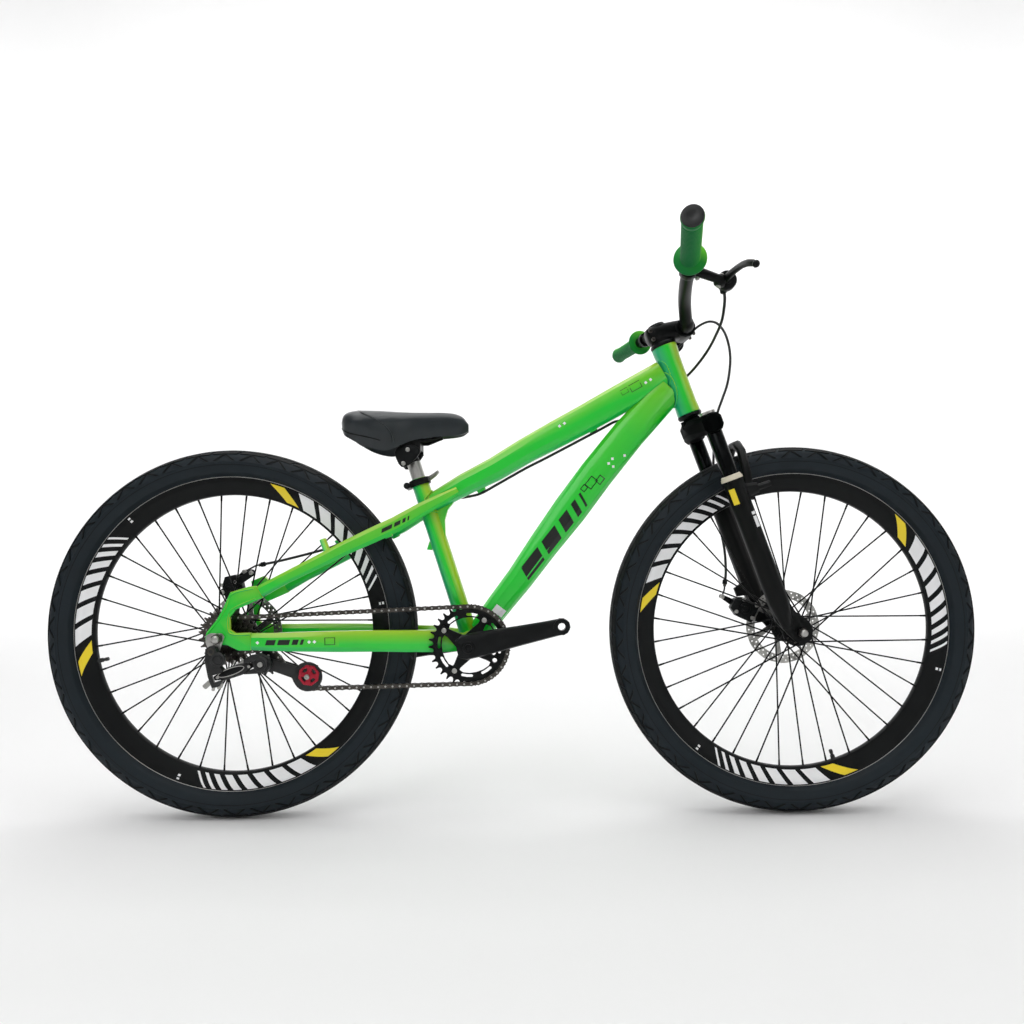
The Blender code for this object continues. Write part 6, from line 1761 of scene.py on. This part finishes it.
class BIKE_OT_fork(BikeStep, bpy.types.Operator):
    """Crown, legs, arch, seals and axle caps."""

    bl_idname = "bike.fork"
    bl_label = "Fork"

    def execute(self, context):
        dress("fork_crown", "black_casting", 26, 0.0018, 3)
        dress("fork_lowers", "black_gloss", 32, 0.001, 2)
        dress("front_axle", "dark_steel", 40, 0.0005, 2)
        ring_profile = [
            (0.1976, 0.0148), (0.1976, 0.016), (0.1984, 0.017), (0.202, 0.018), (0.2026, 0.019),
            (0.2068, 0.0196), (0.2072, 0.019), (0.2072, 0.0148),
        ]
        cap = [
            (0, 0.0), (0, 0.0125), (-0.0015, 0.0142), (-0.005, 0.0142), (-0.0062, 0.0128), (-0.0062, 0.0085),
            (-0.0045, 0.0075), (-0.0045, 0.0),
        ]
        for name, side, cap_finish in (("left", 1, "black_satin"), ("right", -1, "brushed_steel")):
            start, end = leg_point(0.0893, side), leg_point(0.4, side)
            tube = rod("stanchion_%s_skin" % name, start, end, 0.014, 48)
            settle(tube, "stanchion", "steering", ["stanchion_" + name])
            seal = lathe("seal_%s_skin" % name, ring_profile, leg_point(0, side), DOWN, 48, closed=True)
            settle(seal, "cream", "fork_lowers", ["seal_" + name])
            made = lathe("leg_cap_" + name, cap, leg_point(0.0848, side), DOWN, 40)
            settle(made, cap_finish, "steering")
            self.leg_marks(name, side)
            spots = [(fork_point(0.1, -0.0085, 0.03 * side), -AHEAD)]
            bolts("crown_bolt_" + name, 0.0034, 0.003, spots, "dark_steel", "steering")
        self.nuts()
        return {"FINISHED"}

    def leg_sheet(self, side, downs, degrees, lift=0.00035):
        """A thin curved sheet on a leg, between two places down it and two directions round it."""
        rows, turns = 4, 10
        points = []
        for i in range(rows + 1):
            down = downs[0] + (downs[1] - downs[0]) * i / rows
            for j in range(turns + 1):
                angle = math.radians(degrees[0] + (degrees[1] - degrees[0]) * j / turns)
                away = AHEAD * math.cos(angle) + LEFT * side * math.sin(angle)
                points.append(leg_point(down, side) + away * (0.0187 + lift))
        return shell_of(new_mesh("leg_sheet", points, (), grid_faces(rows, turns, flipped=side < 0)), 0.0002)

    def leg_marks(self, name, side):
        """Plain film marks where the real legs have printed ones."""
        gold = join("leg_mark_gold_" + name, [self.leg_sheet(side, (0.2215, 0.25), (112, 146))])
        settle(gold, "yellow_film", "fork_lowers")
        pale = [self.leg_sheet(side, downs, (46, 70)) for downs in ((0.27, 0.2755), (0.2785, 0.2985))]
        settle(join("leg_mark_pale_" + name, pale), "white_film", "fork_lowers")

    def nuts(self):
        """Domed caps over the ends of both axles, with washers."""
        shape = (
            (0, 0), (0, 0.62), (0.0006, 0.72), (0.004, 0.7), (0.0058, 0.52), (0.0064, 0.28), (0.0064, 0),
        )
        for label, hub, end, radius, body in (
            ("front", FRONT_HUB, 0.0652, 0.0088, "fork_lowers"), ("rear", REAR_HUB, 0.087, 0.0092, "frame"),
        ):
            profile = [(out, radius * share) for out, share in shape]
            made = [lathe("cap", profile, hub + LEFT * side * end, LEFT * side, 28) for side in (1, -1)]
            settle(join(label + "_axle_caps", made), "brushed_steel", body)


class BIKE_OT_brakes(BikeStep, bpy.types.Operator):
    """Calipers with their arms and bolts."""

    bl_idname = "bike.brakes"
    bl_label = "Disc brakes"

    def execute(self, context):
        for name in ("front_caliper", "rear_caliper"):
            dress(name, "black_satin", 30, 0.0012, 3)
            dress(name + "_arm", "black_satin", 30, 0.0007, 2)
        self.details("front", FRONT_HUB, 0.04, "fork_lowers", (0.4, 0.393), FRONT_CABLE)
        self.details("rear", REAR_HUB, 0.05, "frame", (-0.517, 0.447), REAR_CABLE)
        return {"FINISHED"}

    def details(self, name, hub, plane, body, tip, cable):
        """Bolts, adjusters and wire of a caliper by a disc; tip is where the arm pinches its wire."""
        arm, pivot = name + "_arm", PLACES[name + "_arm_pull"]
        outward = Vector((pivot.x - hub.x, 0, pivot.z - hub.z)).normalized()
        across = Vector((-outward.z, 0, outward.x))
        centre = hub + outward * 0.083
        near = plane - 0.00875
        spots = []
        for along, out in ((-0.0145, -0.018), (0.0105, -0.02), (0.012, 0.012), (-0.015, 0.009)):
            spot = centre + across * along + outward * out
            spots.append((Vector((spot.x, near - 0.0001, spot.z)), -LEFT))
        bolts(name + "_caliper_bolts", 0.0036, 0.0032, spots, "brushed_steel", body)
        if name == "rear":
            self.adapter(near, body)
        profile = [
            (0, 0), (0, 0.0098), (0.001, 0.0104), (0.0034, 0.0104), (0.0044, 0.0094), (0.0046, 0.005),
            (0.0034, 0.0046), (0.0034, 0),
        ]
        knob = Vector((centre.x, near - 0.0002, centre.z))
        settle(lathe(name + "_pad_adjuster", profile, knob, -LEFT, 32), "black_satin", body)
        end, before = Vector(cable[-1]), Vector(cable[-2])
        heading = (end - before).normalized()
        start = end - heading * 0.013
        knurled(name + "_cable_adjuster", start, end - heading * 0.004, 0.0046, 12, "black_satin", body)
        pinch = Vector((tip[0], plane + 0.0126, tip[1]))
        spots = [(pinch + LEFT * out, LEFT * out) for out in (0.004, -0.004)]
        bolts(name + "_pinch_bolt", 0.0042, 0.0034, spots, "brushed_steel", arm)
        wire = sweep(name + "_brake_wire", smooth_run([end, end + heading * 0.008, pinch], 5), 0.0017, 3)
        wire.data.materials.clear()
        wire.data.materials.append(finish("black_plastic"))
        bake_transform(wire)

    def adapter(self, near, body):
        """Slanted bar from the rear caliper up to the brace between the stays, with its two bolts."""
        low, high = Vector((-0.55, 0, 0.409)), Vector((-0.496, 0, 0.4455))
        lean = math.atan2(high.z - low.z, high.x - low.x)
        outline = []
        for spot, first in ((high, -90), (low, 90)):
            for number in range(7):
                outline.append(polar(0.0066, lean + math.radians(first + 30 * number), (spot.x, spot.z)))
        made = plate("rear_caliper_adapter", [outline], 0.0042, upright(0, near - 0.0012, 0), 0.0008)
        settle(made, "black_satin", body)
        heads = [(Vector((spot.x, near - 0.0034, spot.z)), -LEFT) for spot in (low, high)]
        bolts("rear_adapter_bolts", 0.0042, 0.0034, heads, "brushed_steel", body)


class BIKE_OT_bar(BikeStep, bpy.types.Operator):
    """Stem, bar, grips and brake levers."""

    bl_idname = "bike.bar"
    bl_label = "Bar and levers"

    def execute(self, context):
        dress("stem", "black_gloss", 26, 0.0016, 3)
        right = [mirrored(point, -1) for point in reversed(BAR_RUN[1:])]
        run = right + [Vector(point) for point in BAR_RUN[1:]]
        points = smooth_run(run, 6)
        # Thicker where the stem holds it, then tapering to the bends
        radii = [1.0 + 0.144 * min(1, max(0, (0.046 - abs(p.y)) / 0.012)) for p in points]
        bar = sweep("handlebar_skin", points, 0.0111, 6, radii)
        settle(bar, "black_gloss", "steering", ["handlebar"])
        for name, side in (("left", 1), ("right", -1)):
            self.grip(name, side)
            dress("lever_bracket_" + name, "black_gloss", 28, 0.0009, 2)
            dress("brake_lever_" + name, "black_gloss", 28, 0.001, 3)
            self.lever_parts(name, side)
        self.stem_parts()
        return {"FINISHED"}

    def lever_parts(self, name, side):
        pivot = mirrored(PLACES["lever_left_pull"], side)
        up = Vector((0.32, 0, 0.95)).normalized()
        # Round housing about the pivot with the pin through it, and the drum that takes the cable's end
        drum = [
            (0.1795, 0), (0.1795, 0.011), (0.1812, 0.0142), (0.1835, 0.0154), (0.1935, 0.0154),
            (0.196, 0.0142), (0.1972, 0.011), (0.1972, 0.007), (0.1962, 0.006), (0.1962, 0),
        ]
        centre = Vector((0.344, 0, 0.913))
        settle(lathe("lever_drum_" + name, drum, centre, LEFT * side, 40), "black_gloss", "steering")
        profile = [
            (-0.0085, 0), (-0.0085, 0.0052), (-0.0075, 0.0082), (-0.0055, 0.0092), (0.0055, 0.0092),
            (0.0075, 0.0082), (0.0085, 0.0052), (0.0085, 0),
        ]
        base = pivot + Vector((-0.008, -0.005 * side, -0.0015))
        settle(lathe("lever_housing_" + name, profile, base, up, 32), "black_gloss", "steering")
        ends = [(base + up * 0.0084, up), (base - up * 0.0084, -up)]
        bolts("lever_pin_" + name, 0.0038, 0.0024, ends, "brushed_steel", "steering")
        cable = REAR_CABLE if side < 0 else FRONT_CABLE
        end, after = Vector(cable[0]), Vector(cable[2])
        heading = (after - end).normalized()
        start, stop = end - heading * 0.004, end + heading * 0.0075
        knurled("lever_adjuster_" + name, start, stop, 0.0056, 12, "black_satin", "steering")
        tip = Vector((0.353, 0.3085 * side, 0.8945))
        before = Vector((0.35, 0.302 * side, 0.8985))
        ball = [
            (0, 0), (0.0006, 0.0028), (0.0022, 0.0047), (0.0048, 0.0056), (0.0076, 0.0047), (0.0092, 0.0028),
            (0.0098, 0),
        ]
        heading = (tip - before).normalized()
        made = lathe("lever_ball_" + name, ball, tip - heading * 0.0062, heading, 24, degrees=80)
        settle(made, "black_gloss", "lever_" + name)
        clamp = mirrored(Vector(BAR_RUN[-3]).lerp(Vector(BAR_RUN[-2]), (0.198 - 0.15) / 0.075), side)
        spots = [(clamp + Vector((0.0135, 0, -0.0105)), Vector((0.2, 0, -1)))]
        bolts("lever_clamp_bolt_" + name, 0.0034, 0.005, spots, "brushed_steel", "steering")

    def stem_parts(self):
        bar = Vector(BAR_RUN[0])
        ahead = Vector((1, 0, 0.25)).normalized()
        up = Vector((-0.25, 0, 1)).normalized()
        spots = []
        for y in (0.015, -0.015):
            for rise in (0.013, -0.013):
                spots.append((bar + LEFT * y + up * rise + ahead * 0.0115, ahead))
        bolts("stem_face_bolts", 0.0036, 0.004, spots, "dark_steel", "steering")
        column = HEAD - DOWN * 0.091
        spots = []
        for rise in (0.0085, -0.0075):
            spots.append((column + DOWN * rise - AHEAD * 0.0175 - LEFT * 0.0165, -LEFT))
        bolts("stem_pinch_bolts", 0.0036, 0.0046, spots, "dark_steel", "steering")
        sections = [
            (fork_point(-0.0912, -0.025), 0.0095, 0.0085), (fork_point(-0.0912, -0.0235), 0.014, 0.013),
            (fork_point(-0.0912, -0.019), 0.0178, 0.0155), (fork_point(-0.0912, -0.008), 0.0198, 0.0165),
            (fork_point(-0.0905, 0.006), 0.02, 0.0165), (fork_point(-0.0885, 0.019), 0.019, 0.0165),
            (fork_point(-0.0862, 0.031), 0.0188, 0.0168), (fork_point(-0.0845, 0.04), 0.0186, 0.0165),
        ]
        body = loft("stem_body", sections, 32, 3.2, -DOWN)
        settle(body, "black_gloss", "steering")
        profile = [
            (0, 0), (0, 0.014), (0.0016, 0.0152), (0.0034, 0.0148), (0.0044, 0.0128), (0.0044, 0.0076),
            (0.003, 0.0066), (0.003, 0),
        ]
        top = HEAD - DOWN * 0.1054
        settle(lathe("steerer_cap", profile, top, -DOWN, 44), "black_satin", "steering")
        bolts("steerer_cap_bolt", 0.0044, 0.003, [(top - DOWN * 0.003, -DOWN)], "brushed_steel", "steering")

    def grip(self, name, side):
        inner, outer = mirrored(BAR_RUN[-2], side), mirrored(BAR_RUN[-1], side)
        along = (outer - inner).normalized()
        reach = (outer - inner).length
        profile = [
            (0.008, 0.0114), (0.008, 0.0246), (0.0088, 0.0255), (0.0104, 0.0255), (0.0116, 0.0246),
            (0.013, 0.0172),
        ]
        ribs = 30
        for number in range(ribs):
            at = 0.0165 + (reach - 0.03) * number / (ribs - 1)
            base = 0.0146 - 0.0004 * number / ribs
            profile += [
                (at - 0.0016, base), (at - 0.0008, base + 0.0009), (at + 0.0008, base + 0.0009),
                (at + 0.0016, base),
            ]
        profile += [
            (reach - 0.008, 0.015), (reach - 0.002, 0.0166), (reach + 0.001, 0.0168),
            (reach + 0.0024, 0.0162), (reach + 0.0024, 0.012), (reach + 0.0003, 0.0118),
            (reach + 0.0003, 0.0114),
        ]
        ob = lathe("grip_%s_skin" % name, profile, inner, along, 48, closed=True, degrees=50)
        settle(ob, "grip", "steering", ["grip_" + name])
        cap = [
            (0, 0), (0, 0.0117), (0.0022, 0.0117), (0.0024, 0.0158), (0.0034, 0.0161), (0.005, 0.0154),
            (0.0056, 0.014), (0.0054, 0.006), (0.0048, 0.005), (0.0048, 0),
        ]
        made = lathe("bar_end_" + name, cap, outer + along * 0.0003, along, 40)
        settle(made, "black_plastic", "steering")


STEPS = ("stage", "cables", "wheels", "drive", "frame", "seat", "fork", "brakes", "bar")
CLASSES = (
    BikeSizes, BikeColours, BIKE_OT_stage, BIKE_OT_cables, BIKE_OT_wheels, BIKE_OT_drive, BIKE_OT_frame,
    BIKE_OT_seat, BIKE_OT_fork, BIKE_OT_brakes, BIKE_OT_bar,
)


class BIKE_PT_looks(bpy.types.Panel):
    """Lists the steps and the settings."""

    bl_idname = "BIKE_PT_looks"
    bl_label = "Freeride bike"
    bl_space_type = "VIEW_3D"
    bl_region_type = "UI"
    bl_category = "Bike"

    def draw(self, context):
        layout = self.layout
        for step in STEPS:
            layout.operator("bike." + step)
        for group in (context.scene.bike_sizes, context.scene.bike_colours):
            box = layout.box()
            for key in group.__annotations__:
                box.prop(group, key)


def register():
    for cls in (*CLASSES, BIKE_PT_looks):
        bpy.utils.register_class(cls)
    bpy.types.Scene.bike_sizes = PointerProperty(type=BikeSizes)
    bpy.types.Scene.bike_colours = PointerProperty(type=BikeColours)


def unregister():
    del bpy.types.Scene.bike_sizes
    del bpy.types.Scene.bike_colours
    for cls in reversed((*CLASSES, BIKE_PT_looks)):
        bpy.utils.unregister_class(cls)


def main():
    register()
    for step in STEPS:
        getattr(bpy.ops.bike, step)()


if __name__ == "__main__":
    main()
